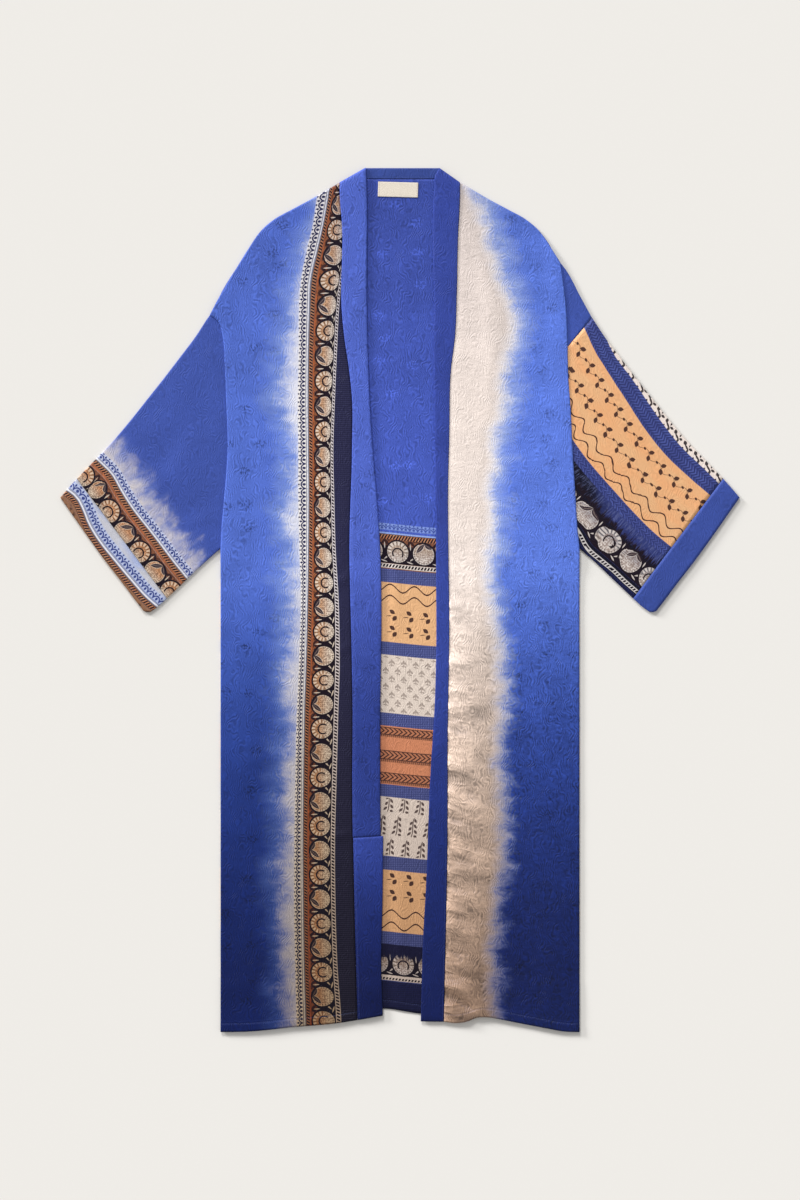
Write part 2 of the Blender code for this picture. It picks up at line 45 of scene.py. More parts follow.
# sizes that the whole robe shares
robe = {
    "side": 260.0, "underarm": 75.0,  # the side seam, and where the sleeve meets it
    "frontSize": (190, 1232), "backSize": (520, 1236), "bandLength": 1215,  # what the grids are counted on
    "wall": 1.2, "hemWall": 1.7, "hemDepth": 14.0,  # the cloth's thickness, also where it is turned under
    "hemRise": (-560, 20),  # where the cloth starts to rise towards the hem, and over what length
    "seam": 0.3, "tuck": 4.0,  # the gap at a seam, and how far a sleeve reaches in under its front
    "onBack": 1.5, "onSleeve": 3.6, "onNeckBand": 2.3,  # the height of a piece that lies on another
    "sleeveHeight": 3.2, "sleeveFold": 1.6,
    "sideKnot": 0.565,  # the share of a front's length that lies below the underarm
    "step": 3.0,  # the cloth's grid
}

Spot = namedtuple("Spot", "x y corner", defaults=(False,))
Crease = namedtuple("Crease", "x y toX toY width height")


def line(*places):
    return [Spot(*place) for place in places]


def creases(*rows):
    return [Crease(*row) for row in rows]


# the outlines, from the photograph. True marks a sharp turn
shoulder = line(
    (87, 605), (101.5, 596.6), (129, 580.5), (157, 565.5), (183, 551), (200, 536.5), (220.5, 507.5),
    (232, 489),
)
sleeveTop = line(
    (232, 489), (264, 435), (275.5, 413), (318, 353), (367, 290), (414, 232.5), (446.5, 198.5), (470, 174),
    (492.3, 148.6),
)
sleeveUnder = line((260, 75), (279, 58), (297.5, 40.6), (316, 23), (335, 5), (354.5, -12.5), (362, -17.5))
cuffSeam = line((468, 176), (338, 2.5))
cuffEdge = line(
    (492.3, 148.6), (453.3, 93), (428.3, 58.3), (401.2, 23.4), (375.5, -10.5), (370.5, -16.5), (362, -17.5),
)
headSeam = line((278.4, 409), (238.7, 362.3))
armholeLeft = line(
    (232, 489), (236.5, 458, True), (240, 428, True), (242.2, 384), (243.6, 325), (247, 278), (250, 215),
    (254, 152), (257, 104), (260, 75),
)
armholeRight = line(
    (-275.5, 413), (-264, 404, True), (-257, 381, True), (-253.8, 338), (-251.6, 283), (-249.8, 220),
    (-252, 180), (-255, 146), (-258, 112), (-260, 75),
)
bandSeamRight = line(
    (-87, 605), (-86.3, 580), (-83.7, 548), (-83.4, 413), (-80.2, 381), (-73.4, 335), (-68.9, 290),
    (-68.9, 222), (-72.8, 72.5), (-70.3, -43.5), (-68.2, -158), (-68.7, -274), (-67.1, -390), (-61.6, -608.5),
)
bandSeamLeft = line(
    (87, 605), (86.6, 580), (84, 522), (82.4, 449.5), (79.8, 381), (74, 335), (71.6, 245), (69.6, 154),
    (70.3, 64), (71.5, -27.5), (69.2, -210), (69.2, -312), (63.8, -611),
)
bandFoldRight = line(
    (-50, 626), (-48.9, 594.5), (-48.6, 426), (-46.4, 335), (-42, 245), (-34.8, 154), (-29.7, 80),
    (-27.8, 14.5), (-29, -158), (-29, -297), (-28.5, -342),
)
bandFoldLower = line((-24.4, -342), (-25.2, -435), (-27.1, -529), (-24.7, -602))
bandFoldLeft = line(
    (57, 626), (50.8, 614), (49.3, 594.5), (49, 426), (49, 335), (50.3, 245), (51.6, 154), (52.4, 14),
    (52.6, -58), (50.8, -139), (43.5, -262), (37.7, -414), (33.4, -490), (30, -610.5),
)
hemRight = line(
    (-260, -626), (-217.5, -625), (-196, -623.2), (-155, -618.6), (-125, -616.3), (-97, -613.8),
    (-61.6, -608.5),
)
hemLeft = line(
    (260, -626), (239, -625.2), (212, -620.4), (175, -613.4), (151, -608.6), (129, -604.6), (112, -604.6),
    (100, -609.2), (82, -612.6), (63.8, -611),
)
hemBack = line(
    (-260, -624), (-145, -606), (-75, -597, True), (-23, -592.3), (30.5, -599.5), (75, -600.5, True),
    (126, -600), (210, -615), (260, -624),
)
neckSeam = {"height": 610.5, "half": 75.5}

# curves and surfaces


def ease(value):
    value = max(0.0, min(1.0, value))
    return value * value * (3 - 2 * value)


def rising(value, start, over):
    return ease((value - start) / over)


def flipped(places):
    return [Spot(-p.x, p.y, p.corner) for p in places]


def shifted(places, across):
    return [Spot(p.x + across, p.y, p.corner) for p in places]


def rounded(places):
    return [Spot(p.x, p.y) for p in places]


def reverse(places):
    return list(reversed(places))


def away(a, b):
    return math.hypot(a[0] - b[0], a[1] - b[1])


def steps(count, low=0.0, high=1.0):
    return [low + (high - low) * i / count for i in range(count + 1)]


def graded(length, knots, sizes, least=1):
    # shares of a length, with cells of about the given size between each two knots
    shares = []
    for low, high, size in zip((0, *knots), (*knots, 1), sizes):
        shares += steps(max(least, round((high - low) * length / size)), low, high)[:-1]
    return [*shares, 1.0]


def levelled(value, places, levels):
    # the level of a value between given places, straight between two of them and past the ends
    i = 0
    while i < len(places) - 2 and value > places[i + 1]:
        i += 1
    return levels[i] + (levels[i + 1] - levels[i]) * (value - places[i]) / (places[i + 1] - places[i])


def hermite(start, leaving, end, arriving, t):
    first, last = start * (2 * t**3 - 3 * t**2 + 1), end * (3 * t**2 - 2 * t**3)
    return first + leaving * (t**3 - 2 * t**2 + t) + last + arriving * (t**3 - t**2)


def curveThrough(places, knots=()):
    # a smooth curve through the places, as a function of the share of its length
    run = [0.0]
    for a, b in zip(places, places[1:]):
        run.append(run[-1] + away(a, b))
    corners = [run[i] for i, p in enumerate(places) if p.corner]
    limits = [0.0, *corners, run[-1]]
    targets = [0.0, *(knots if corners else ()), 1.0]
    at = [levelled(length, limits, targets) for length in run]
    spots = [Vector((p.x, p.y)) for p in places]
    slopes = [(b - a) / (t1 - t0) for a, b, t0, t1 in zip(spots, spots[1:], at, at[1:])]
    arriving, leaving = [slopes[0]], [slopes[0]]
    for i in range(1, len(places) - 1):
        before, after = slopes[i - 1], slopes[i]
        if places[i].corner:
            arriving.append(before)
            leaving.append(after)
        else:
            behind, ahead = at[i] - at[i - 1], at[i + 1] - at[i]
            tangent = (before * ahead + after * behind) / (ahead + behind)
            arriving.append(tangent)
            leaving.append(tangent)
    arriving.append(slopes[-1])

    @lru_cache(maxsize=None)
    def curve(share):
        share = max(0.0, min(1.0, share))
        i = 0
        while i < len(slopes) - 1 and at[i + 1] <= share:
            i += 1
        span = at[i + 1] - at[i]
        t = (share - at[i]) / span
        return hermite(spots[i], leaving[i] * span, spots[i + 1], arriving[i + 1] * span, t)

    return curve


def panel(near, far, start, end, alongKnots=(), acrossKnots=()):
    # the flat place of each share on a panel. near and far run along it, start and end across it
    near, far = curveThrough(near, alongKnots), curveThrough(far, alongKnots)
    start, end = curveThrough(start, acrossKnots), curveThrough(end, acrossKnots)
    corners = start(0), start(1), end(0), end(1)

    def place(across, along):
        ruled = near(along).lerp(far(along), across)
        crossed = start(across).lerp(end(across), along)
        low = corners[0].lerp(corners[1], across)
        high = corners[2].lerp(corners[3], across)
        return ruled + crossed - low.lerp(high, along)

    return lru_cache(maxsize=None)(place)


def lift(folds, x, y):
    # how far the creases lift the cloth. One side of each is steeper, as in a fallen fold
    total = 0.0
    for c in folds:
        runX, runY = c.toX - c.x, c.toY - c.y
        length = math.hypot(runX, runY)
        share = ((x - c.x) * runX + (y - c.y) * runY) / length**2
        if 0 < share < 1:
            side = ((x - c.x) * runY - (y - c.y) * runX) / length / c.width
            if abs(side) < 3:
                side *= 1.25 if side > 0 else 0.8
                total += c.height * math.sin(math.pi * share) * math.exp(-side * side)
    return total


def unevenness(x, y, size, height):
    return height * noise.noise(Vector((x / size, y / size, size)))


def hemStep(y):
    return (robe["hemWall"] - robe["wall"]) * (1 - rising(y, *robe["hemRise"]))


# what every piece is made with


def clothGrid(across, along, place):
    # a grid with a column for each value in across and a row for each in along.
    # place gives the spot in mm and, for each of the cloth's maps, a pair of numbers
    columns, rows = len(across) - 1, len(along) - 1
    bm = bmesh.new()
    bmesh.ops.create_grid(bm, x_segments=columns, y_segments=rows, size=0.5)
    maps = {}
    for vert in bm.verts:
        i, j = round((vert.co.x + 0.5) * columns), round((vert.co.y + 0.5) * rows)
        spot, values = place(across[i], along[j])
        vert.co = Vector(spot) * mm
        maps[vert] = values
    for name in next(iter(maps.values())):
        layer = bm.loops.layers.uv.new(name)
        for face in bm.faces:
            for loop in face.loops:
                loop[layer].uv = maps[loop.vert][name]
    return bm


def makePiece(name, bm, material, slot, closed=False):
    if closed:  # the grid goes all round, so its first and last columns are joined
        bmesh.ops.remove_doubles(bm, verts=bm.verts, dist=1e-7)
        bmesh.ops.recalc_face_normals(bm, faces=bm.faces)
    mesh = bpy.data.meshes.new(name)
    bm.to_mesh(mesh)
    bm.free()
    mesh.materials.append(material)
    mesh.shade_smooth()
    piece = bpy.data.objects.new(name, mesh)
    bpy.context.scene.collection.objects.link(piece)
    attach(piece, "root")
    return piece


def pressedFold(width, radius):
    # round the fold at a flat tube's edge: shares of its width, each with a share of its height
    turns = [math.radians(angle) for angle in (-90, -60, -30, 0, 30, 60, 90)]
    return [(radius * (1 - math.cos(turn)) / width, 0.5 + 0.5 * math.sin(turn)) for turn in turns]


def foldedRing(width, radius, columns):
    # the same all round the tube, from the fold's underside back to it
    near = pressedFold(width, radius)
    far = [(1 - share, rise) for share, rise in reverse(near)]
    low = near[0][0]
    inside = steps(columns, low, 1 - low)[1:-1]
    return [*near, *((s, 1.0) for s in inside), *far, *((s, 0.0) for s in reverse(inside)), near[0]]


def giveWall(piece, thickness, outwards=True):
    wall = piece.modifiers.new("cloth", "SOLIDIFY")
    wall.thickness = thickness * mm
    wall.offset = 1.0 if outwards else -1.0
    wall.use_even_offset = True
    return wall


# places on the photograph
pixel = 1.45  # mm in one pixel of the photograph
middle = (400, 600)  # the pixel over the middle of the floor


def down(py):
    # a height on the photograph, as y in mm
    return (middle[1] - py) * pixel


def onPhoto(x, y):
    return middle[0] + x / pixel, middle[1] - y / pixel


def readTable(rows, at):
    # the values of a table at a place between its rows, along a smooth curve
    at = max(rows[0][0], min(rows[-1][0], at))
    i = max(k for k in range(len(rows) - 1) if rows[k][0] <= at)
    a, b, before, after = rows[i], rows[i + 1], rows[max(0, i - 1)], rows[min(len(rows) - 1, i + 2)]
    span = b[0] - a[0]
    t = (at - a[0]) / span
    values = []
    for k in range(1, len(a)):
        leaving = (b[k] - before[k]) / (b[0] - before[0]) * span
        arriving = (after[k] - a[k]) / (after[0] - a[0]) * span
        values.append(hermite(a[k], leaving, b[k], arriving, t))
    return values


class Trail:
    # a line on the photograph, to measure from
    def __init__(self, *places):
        curve = curveThrough(line(*places))
        self.spots = [curve(i / 20) for i in range(21)]
        self.runs = [0.0]
        for a, b in zip(self.spots, self.spots[1:]):
            self.runs.append(self.runs[-1] + (b - a).length)

    def measure(self, px, py):
        # how far away the place is, with a sign for the side, and how far along
        best = None
        last = len(self.spots) - 2
        for i in range(last + 1):
            a, b = self.spots[i], self.spots[i + 1]
            runX, runY = b.x - a.x, b.y - a.y
            length = math.hypot(runX, runY)
            share = ((px - a.x) * runX + (py - a.y) * runY) / length**2
            if (i > 0 and share < 0) or (i < last and share > 1):
                share = max(0.0, min(1.0, share))
            gap = math.hypot(px - a.x - runX * share, py - a.y - runY * share)
            if best is None or gap < best[0]:
                side = 1 if runX * (py - a.y) - runY * (px - a.x) > 0 else -1
                best = gap, side * gap, self.runs[i] + share * length
        return best[1], best[2]


# dyes and inks, each as it looks under the studio's light, from 0 to 255
dyes = {
    "cream": (246, 231, 221), "creamLine": (212, 190, 172), "white": (234, 233, 241),
    "ivory": (238, 227, 210), "ink": (36, 27, 30), "seed": (62, 49, 54), "coal": (28, 27, 36),
    "brown": (104, 66, 46), "umber": (136, 88, 62), "rust": (186, 110, 70), "tan": (208, 150, 106),
    "sand": (224, 204, 180), "stone": (198, 178, 160), "pearl": (226, 214, 205), "ash": (168, 162, 164),
    "slate": (86, 92, 116), "peach": (236, 184, 134), "shell": (229, 213, 199), "leaf": (62, 38, 34),
    "wave": (66, 38, 32), "terracotta": (214, 140, 102), "navy": (72, 82, 146), "navyThread": (40, 46, 92),
    "deepNavy": (34, 32, 58), "chainBlue": (74, 90, 158), "paleBlue": (152, 176, 236),
    "taupe": (140, 124, 114), "thread": (120, 140, 214),
}
# what the light and the silk's sheen do to a dye, so that it renders as it is written
light, haze = 1.08, 0.009
silkFinish = {"Sheen Weight": 0.08, "Sheen Roughness": 0.35, "Specular Tint": (0.6, 0.66, 1.0, 1.0)}


def linear(colour):
    parts = [c / 255 for c in (dyes[colour] if isinstance(colour, str) else colour)]
    parts = [c / 12.92 if c <= 0.04045 else ((c + 0.055) / 1.055) ** 2.4 for c in parts]
    return (*(max(0.0, c - haze) / light for c in parts), 1.0)


class Signal:
    # a number that runs through a material's nodes, so that a pattern is written in plain sums
    def __init__(self, tree, socket):
        self.tree, self.socket = tree, socket

    def math(self, kind, *others):
        node = addNode(self.tree, "ShaderNodeMath", dict(enumerate((self, *others))), operation=kind)
        return Signal(self.tree, node.outputs[0])

    def __add__(self, other):
        return self.math("ADD", other)

    def __sub__(self, other):
        return self.math("SUBTRACT", other)

    def __mul__(self, other):
        return self.math("MULTIPLY", other)

    def __abs__(self):
        return self.math("ABSOLUTE")

    def scaled(self, factor, offset):
        return self.math("MULTIPLY_ADD", factor, offset)

    def sine(self):
        return self.math("SINE")

    def part(self):
        return self.math("FRACT")

    def whole(self):
        return self.math("FLOOR")

    def inverse(self):
        return self.scaled(-1.0, 1.0)

    def angle(self, other):
        return self.math("ARCTAN2", other)

    def either(self, other):
        return self.math("MAXIMUM", other)

    def both(self, other):
        return self.math("MINIMUM", other)

    def below(self, edge, soft=0.3):
        # 1 where the number is below the edge, 0 above, with a soft step between
        if isinstance(edge, Signal):
            return (self - edge).below(0.0, soft)
        limits = dict(enumerate((self, edge - soft, edge + soft, 1.0, 0.0)))
        node = addNode(self.tree, "ShaderNodeMapRange", limits, interpolation_type="SMOOTHSTEP")
        return Signal(self.tree, node.outputs["Result"])

    def above(self, edge, soft=0.3):
        return self.below(edge, soft).inverse()

    def near(self, place, half, soft=0.3):
        return abs(self - place).below(half, soft)

    def between(self, low, high, soft=0.3):
        return self.near((low + high) / 2, (high - low) / 2, soft)

    def cell(self, pitch, offset=0.0):
        # the number measured from the middle of its cell
        return (self.scaled(1 / pitch, offset / pitch + 0.5).part() - 0.5) * pitch

    def index(self, pitch):
        return self.scaled(1 / pitch, 0.5).whole()


def feed(tree, slot, value):
    if isinstance(value, Signal):
        tree.links.new(value.socket, slot)
    elif isinstance(value, bpy.types.NodeSocket):
        tree.links.new(value, slot)
    else:
        slot.default_value = value


def addNode(tree, kind, inputs=None, **settings):
    node = tree.nodes.new(kind)
    for name, value in settings.items():
        setattr(node, name, value)
    for name, value in (inputs or {}).items():
        feed(tree, node.inputs[name], value)
    return node


class Paint:
    # the tools that paint in one tree of nodes
    def __init__(self, tree):
        self.tree = tree

    def vector(self, x, y):
        return addNode(self.tree, "ShaderNodeCombineXYZ", {"X": x, "Y": y}).outputs[0]

    def noise(self, x, y, sizeX, sizeY, detail=2.0, seed=0.0):
        # uneven cloud from about -1 to 1, with spots of the given size in mm
        at = self.vector(x.scaled(1 / sizeX, seed), y.scaled(1 / sizeY, seed * 1.7))
        inputs = {"Vector": at, "Scale": 1.0, "Detail": detail, "Roughness": 0.55}
        node = addNode(self.tree, "ShaderNodeTexNoise", inputs, noise_dimensions="2D")
        return Signal(self.tree, node.outputs[0]).scaled(2.0, -1.0)

    def cells(self, x, y, size, seed, randomness):
        # scattered cells: the place measured from the cell's own centre in mm, and a number for each cell
        at = self.vector(x.scaled(1 / size, seed), y.scaled(1 / size, seed))
        inputs = {"Vector": at, "Scale": 1.0, "Randomness": randomness}
        node = addNode(self.tree, "ShaderNodeTexVoronoi", inputs, voronoi_dimensions="2D")
        inputs = {0: at, 1: node.outputs["Position"]}
        offset = addNode(self.tree, "ShaderNodeVectorMath", inputs, operation="SUBTRACT")
        parts = addNode(self.tree, "ShaderNodeSeparateXYZ", {"Vector": offset.outputs[0]})
        lot = addNode(self.tree, "ShaderNodeSeparateColor", {0: node.outputs["Color"]})
        x, y, number = (Signal(self.tree, socket) for socket in (*parts.outputs[:2], lot.outputs[0]))
        return x * size, y * size, number

    def mix(self, under, over, mask, how="MIX"):
        node = addNode(self.tree, "ShaderNodeMix", data_type="RGBA", blend_type=how)
        for slot, value in ((node.inputs[0], mask), (node.inputs[6], under), (node.inputs[7], over)):
            feed(self.tree, slot, linear(value) if isinstance(value, (str, tuple)) else value)
        return node.outputs[2]

    def toned(self, colour, tone):
        # the same colour, lighter or darker by the tone, where 1 leaves it
        grey = addNode(self.tree, "ShaderNodeCombineColor", {0: tone, 1: tone, 2: tone})
        return self.mix(colour, grey.outputs[0], 1.0, "MULTIPLY")


class Cloth(Paint):
    # one material: its maps, the colour that is painted on it layer by layer, and its relief
    def __init__(self, name, roughness, specular=0.25):
        self.material = bpy.data.materials.new(name)
        self.material.use_nodes = True
        super().__init__(self.material.node_tree)
        self.shader = self.tree.nodes["Principled BSDF"]
        finish = {"Roughness": roughness, "Specular IOR Level": specular, **silkFinish}
        for slot, value in finish.items():
            self.shader.inputs[slot].default_value = value
        self.reliefs = []

    def map(self, name):
        # a cloth map's two numbers, in mm
        node = addNode(self.tree, "ShaderNodeUVMap", uv_map=name)
        parts = addNode(self.tree, "ShaderNodeSeparateXYZ", {"Vector": node.outputs["UV"]})
        return [Signal(self.tree, parts.outputs[axis]) * 1000.0 for axis in "XY"]

    def maps(self, *names):
        return [self.map(name) for name in names]

    def finish(self, colour, rough=None):
        feed(self.tree, self.shader.inputs["Base Color"], colour)
        normal = None
        for height, distance in self.reliefs:
            inputs = {"Height": height, "Distance": distance * mm, "Strength": 1.0}
            if normal:
                inputs["Normal"] = normal
            normal = addNode(self.tree, "ShaderNodeBump", inputs).outputs["Normal"]
        if normal:
            feed(self.tree, self.shader.inputs["Normal"], normal)
        if rough is not None:
            feed(self.tree, self.shader.inputs["Roughness"], rough)
        return self.material


def motif(build):
    # makes a motif's nodes once, as a group that every cloth can use
    made = {}

    def kindOf(value):
        if isinstance(value, Signal):
            return "NodeSocketFloat"
        return "NodeSocketColor" if isinstance(value, bpy.types.NodeSocket) else None

    def use(paint, *given, **settings):
        kinds = tuple(kindOf(value) or value for value in given)
        key = kinds, tuple(settings.items())
        if key not in made:
            tree = bpy.data.node_groups.new(build.__name__, "ShaderNodeTree")
            for i, value in enumerate(given):
                if kindOf(value):
                    tree.interface.new_socket(f"given {i}", in_out="INPUT", socket_type=kindOf(value))
            entry = iter(tree.nodes.new("NodeGroupInput").outputs)
            inner = []
            for value in given:
                if isinstance(value, Signal):
                    value = Signal(tree, next(entry))
                elif kindOf(value):
                    value = next(entry)
                inner.append(value)
            results = build(Paint(tree), *inner, **settings)
            results = results if isinstance(results, tuple) else (results,)
            for i, value in enumerate(results):
                tree.interface.new_socket(f"result {i}", in_out="OUTPUT", socket_type=kindOf(value))
            last = tree.nodes.new("NodeGroupOutput")
            for slot, value in zip(last.inputs, results):
                feed(tree, slot, value)
            made[key] = tree, [isinstance(value, Signal) for value in results]
        tree, signals = made[key]
        node = paint.tree.nodes.new("ShaderNodeGroup")
        node.node_tree = tree
        for slot, value in zip(node.inputs, (value for value in given if kindOf(value))):
            feed(paint.tree, slot, value)
        results = [Signal(paint.tree, slot) if plain else slot for slot, plain in zip(node.outputs, signals)]
        return results[0] if len(results) == 1 else tuple(results)

    return use


# motifs. Each gives a mask or paints a colour, with x and y in mm from the motif's own middle


def leaf(x, y, atX, atY, turn, length, width, soft=0.15):
    turn = math.radians(turn)
    c, s = math.cos(turn), math.sin(turn)
    p = x.math("MULTIPLY_ADD", c / length, y.scaled(s / length, -(atX * c + atY * s) / length))
    q = x.math("MULTIPLY_ADD", -s / width, y.scaled(c / width, (atX * s - atY * c) / width))
    return (p * p + abs(q)).below(1.0, soft)


def leaves(x, y, *places):
    return reduce(Signal.either, [leaf(x, y, *place) for place in places])


def spread(x, y):
    return (x * x + y * y).math("SQRT")


@motif
def silkWeave(paint, x, y):
    # fine threads, which show only close up
    return (x * 7.4).sine() * (y * 7.4).sine()


@motif
def grassWeave(paint, x, y):
    # tone-on-tone weave: short combed strands of grass that swirl
    swirl = paint.noise(x, y, 32, 40, 2.0, 3.1)
    strands = (x * 1.35 + swirl * 30.0).sine()
    tufts = paint.noise(x, y, 10, 15, 1.5, 1.3).above(-0.04, 0.2)
    fine = paint.noise(x, y, 2.0, 4.2, 1.0, 7.7)
    return strands * tufts * 1.25 + fine * 0.9


@motif
def sprigs(paint, x, y):
    # small scattered flower sprigs, each a loose crown of dabs
    sx, sy, lot = paint.cells(x, y, 46.0, 5.2, 0.8)
    dabs = paint.noise(x, y, 3.3, 3.3, 0.5, 8.0).above(0.07, 0.09)
    crown = spread(sx, sy.scaled(1.5, 0.0)).below(9.5, 3.0) * lot.above(0.22, 0.02)
    stalk = leaf(sx, sy, 1.0, -9.0, 78.0, 6.5, 0.8, 0.3) * 0.6
    return (dabs * crown).either(stalk * lot.above(0.22, 0.02))


@motif
def strayed(paint, x, y):
    # how far the dye's edge strays, in soft clouds and wisps
    tongues = paint.noise(x, y, 62, 30, 1.5, 2.0)
    clouds = paint.noise(x, y, 30, 17, 3.0, 6.0)
    wisps = paint.noise(x, y, 15, 4.6, 2.0, 4.0)
    return tongues * 15.0 + clouds * 15.0 + wisps * 5.0


@motif
def crinkled(paint, x, y, dye):
    # crinkles that run from the band's seam and a little down, on wider soft swells
    along, across = x * 0.93 - y * 0.37, x * 0.37 + y * 0.93
    ridges = abs(paint.noise(along, across, 52, 19, 2.0, 5.5)).scaled(-2.2, 1.0)
    swells = paint.noise(along, across, 70, 34, 1.0, 9.1)
    lower = y.below(-60.0, 190.0)
    crinkles = ridges * dye.below(-40.0, 32.0) * 0.75 + swells * dye.below(-8.0, 26.0) * 1.3
    return crinkles * lower.scaled(0.9, 0.1)


@motif
def stitchLine(paint, distance, run, at, pitch):
    # a row of stitches at a distance from an edge
    return distance.near(at, 0.32, 0.12) * run.cell(pitch).near(0.0, pitch * 0.36, 0.15)


@motif
def chainTrim(paint, colour, d, s, centre, tint, ground, size=1.0):
    # a braid of winged beads, with a small diamond between each two
    x, y = (d - centre) * (1 / size), s.cell(11.5)
    zone = x.near(0.0, 4.8, 0.5)
    colour = paint.mix(colour, ground, zone * 0.85)
    bead = spread(x - 1.7, y).below(1.8, 0.4)
    wings = abs(spread(x - 4.2, y) - 5.6).below(0.8, 0.3) * x.below(3.6, 0.5)
    diamonds = (abs(x + 2.2) * 0.8 + abs(abs(y) - 5.75)).below(1.7, 0.4)
    specks = spread(x - 1.2, abs(y) - 5.75).below(1.15, 0.35).either(spread(x + 3.9, y).below(1.2, 0.35))
    edge = x.near(4.4, 0.35, 0.2) * 0.85
    return paint.mix(colour, tint, bead.either(wings).either(diamonds).either(specks).either(edge) * zone)


@motif
def comb(paint, colour, d, s, low, high):
    # slanting dark ticks on brown and rust, with a dark rail on each side
    ground = paint.mix((192, 142, 106), "rust", paint.noise(d, s, 6, 9, 2.0, 6.0).above(0.0, 0.5) * 0.75)
    colour = paint.mix(colour, ground, d.between(low - 0.9, high + 0.7, 0.4))
    tick = (s + d * 0.55).cell(4.2).near(0.0, 1.2, 0.25)
    rails = d.near(low - 0.7, 0.5, 0.3).either(d.near(high + 0.5, 0.45, 0.3)) * 0.8
    return paint.mix(colour, "ink", (tick * d.between(low, high, 0.4)).either(rails))


@motif
def roundels(paint, colour, d, s, radius, pitch, field, face, pale):
    # a row of medallions, a ribbed shell and a leaf pod in turn. d is measured from the row's middle
    y = s.cell(pitch)
    podTurn = (s.index(pitch) * 0.5).part().above(0.25, 0.05)
    reach, around = spread(d, y), y.angle(d)
    mottle = paint.noise(d, s, 4.5, 6.5, 1.5, 9.3).above(0.1, 0.2) * 0.7
    ground = paint.mix(paint.mix(field, "ink", mottle), "ink", d.above(-radius * 0.55, 2.2))
    colour = paint.mix(colour, ground, d.between(-radius - 1.0, radius + 1.0, 0.4))
    gap = s.cell(pitch, pitch / 2)
    scrolls = leaves(d, gap, (-radius * 0.8, 2.6, 38, 4.6, 2.0), (-radius * 0.8, -2.6, -38, 4.6, 2.0))
    colour = paint.mix(colour, "ink", scrolls * 0.85)
    strokes = leaves(
        d, gap, (radius * 0.5, 3.0, -50, 5.6, 1.0), (radius * 0.86, -1.0, 75, 5.0, 0.9),
        (-radius * 0.52, -0.4, 4, 5.0, 0.9),
    )
    colour = paint.mix(colour, pale, strokes * 0.8)
    disc = reach.below(radius, 0.4)
    dx, dy, _ = paint.cells(d, s, 3.0, 0.0, 0.35)
    grain = paint.noise(d, s, 3.4, 3.4, 1.5, 4.4).above(0.08, 0.2) * 0.58
    tint = paint.mix(face, pale, d.above(radius * 0.1, radius * 0.6))
    tint = paint.mix(tint, "brown", (spread(dx, dy).below(0.9, 0.35) * 0.6).either(grain))
    colour = paint.mix(paint.mix(colour, tint, disc), pale, abs(reach - radius + 1.7).below(0.5, 0.35) * 0.8)
    ribs = (around * 15.0).sine()
    fluted = reach.between(radius * 0.6, radius * 0.92, 0.5) * d.below(radius * 0.25, 2.5)
    colour = paint.mix(colour, paint.mix(face, pale, ribs.above(0.0, 0.6) * 0.75), fluted * podTurn.inverse())
    curl = abs(spread(d - radius * 0.14, y) - radius * 0.45).below(1.05, 0.3) * d.below(radius * 0.42, 0.8)
    scallops = ribs.below(-0.6, 0.3) * fluted * 0.7
    ringed = reach.between(radius * 0.76, radius * 0.95, 0.4) * d.above(-radius * 0.1, 2.0)
    ticks = (around * 24.0).sine().above(0.2, 0.4) * ringed * 0.5
    notch = (d * 1.2 + abs(y - 0.5) * 0.5).below(-radius * 0.74, 0.8)
    colour = paint.mix(colour, field, notch * disc * podTurn)
    # a pod's two leaves spring from one point on its left edge, the lower one longer
    upper, lower = (-radius * 0.7, radius * 0.39, 58), (-radius * 0.5, -radius * 0.29, -40)
    rim, blade, vein = (7.2, 4.0, 9.6, 3.8), (6.6, 3.2, 9.0, 2.9), (5.6, 0.5, 7.8, 0.5)
    for ink, strength, (length, width, lowLength, lowWidth) in (
        (pale, 0.75, rim), ("seed", 1, blade), ("taupe", 0.75, vein),
    ):
        pod = leaves(d, y, (*upper, length, width), (*lower, lowLength, lowWidth))
        colour = paint.mix(colour, ink, pod * podTurn * strength)
    marks = (curl.either(scallops) * podTurn.inverse()).either(ticks)
    return paint.mix(colour, "ink", marks.either(abs(reach - radius).below(1.2, 0.35)))


@motif
def ladder(paint, colour, d, s, centre, half, ground):
    # a pale line with short dark dashes across it
    colour = paint.mix(colour, ground, d.near(centre, half + 0.6, 0.35))
    dash = (s + d * 0.5).cell(4.6).near(0.0, 1.4, 0.3) * d.near(centre, half * 0.84, 0.25)
    return paint.mix(colour, "ink", dash)


@motif
def checks(paint, x, y, dark, pale, pitch):
    # a small woven check
    mesh = x.cell(pitch).near(0.0, pitch * 0.28, 0.45) * y.cell(pitch).near(0.0, pitch * 0.28, 0.45)
    return paint.mix(dark, pale, mesh)


@motif
def braidedBand(paint, d, s, dark, pale):
    # two plaited cords of dark thread on a woven ground
    plait = abs((s + abs(d.cell(8.6)) * 1.2).cell(5.0)).below(1.3, 0.5)
    rails = abs(d.cell(8.6)).above(3.3, 0.4)
    cloud = paint.noise(d, s, 14, 30, 2.0, 2.6).above(0.0, 0.5)
    ground = paint.mix(dark, (92, 106, 178), cloud * 0.5)
    return paint.mix(paint.mix(ground, pale, plait * 0.95), pale, rails * 0.5)


@motif
def waveLines(paint, d, s, first, second, rise, length):
    # two lines that swing together
    swing = (s * (2 * math.pi / length)).sine() * rise
    return abs(d - first - swing).below(1.05, 0.4).either(abs(d - second - swing).below(1.05, 0.4))


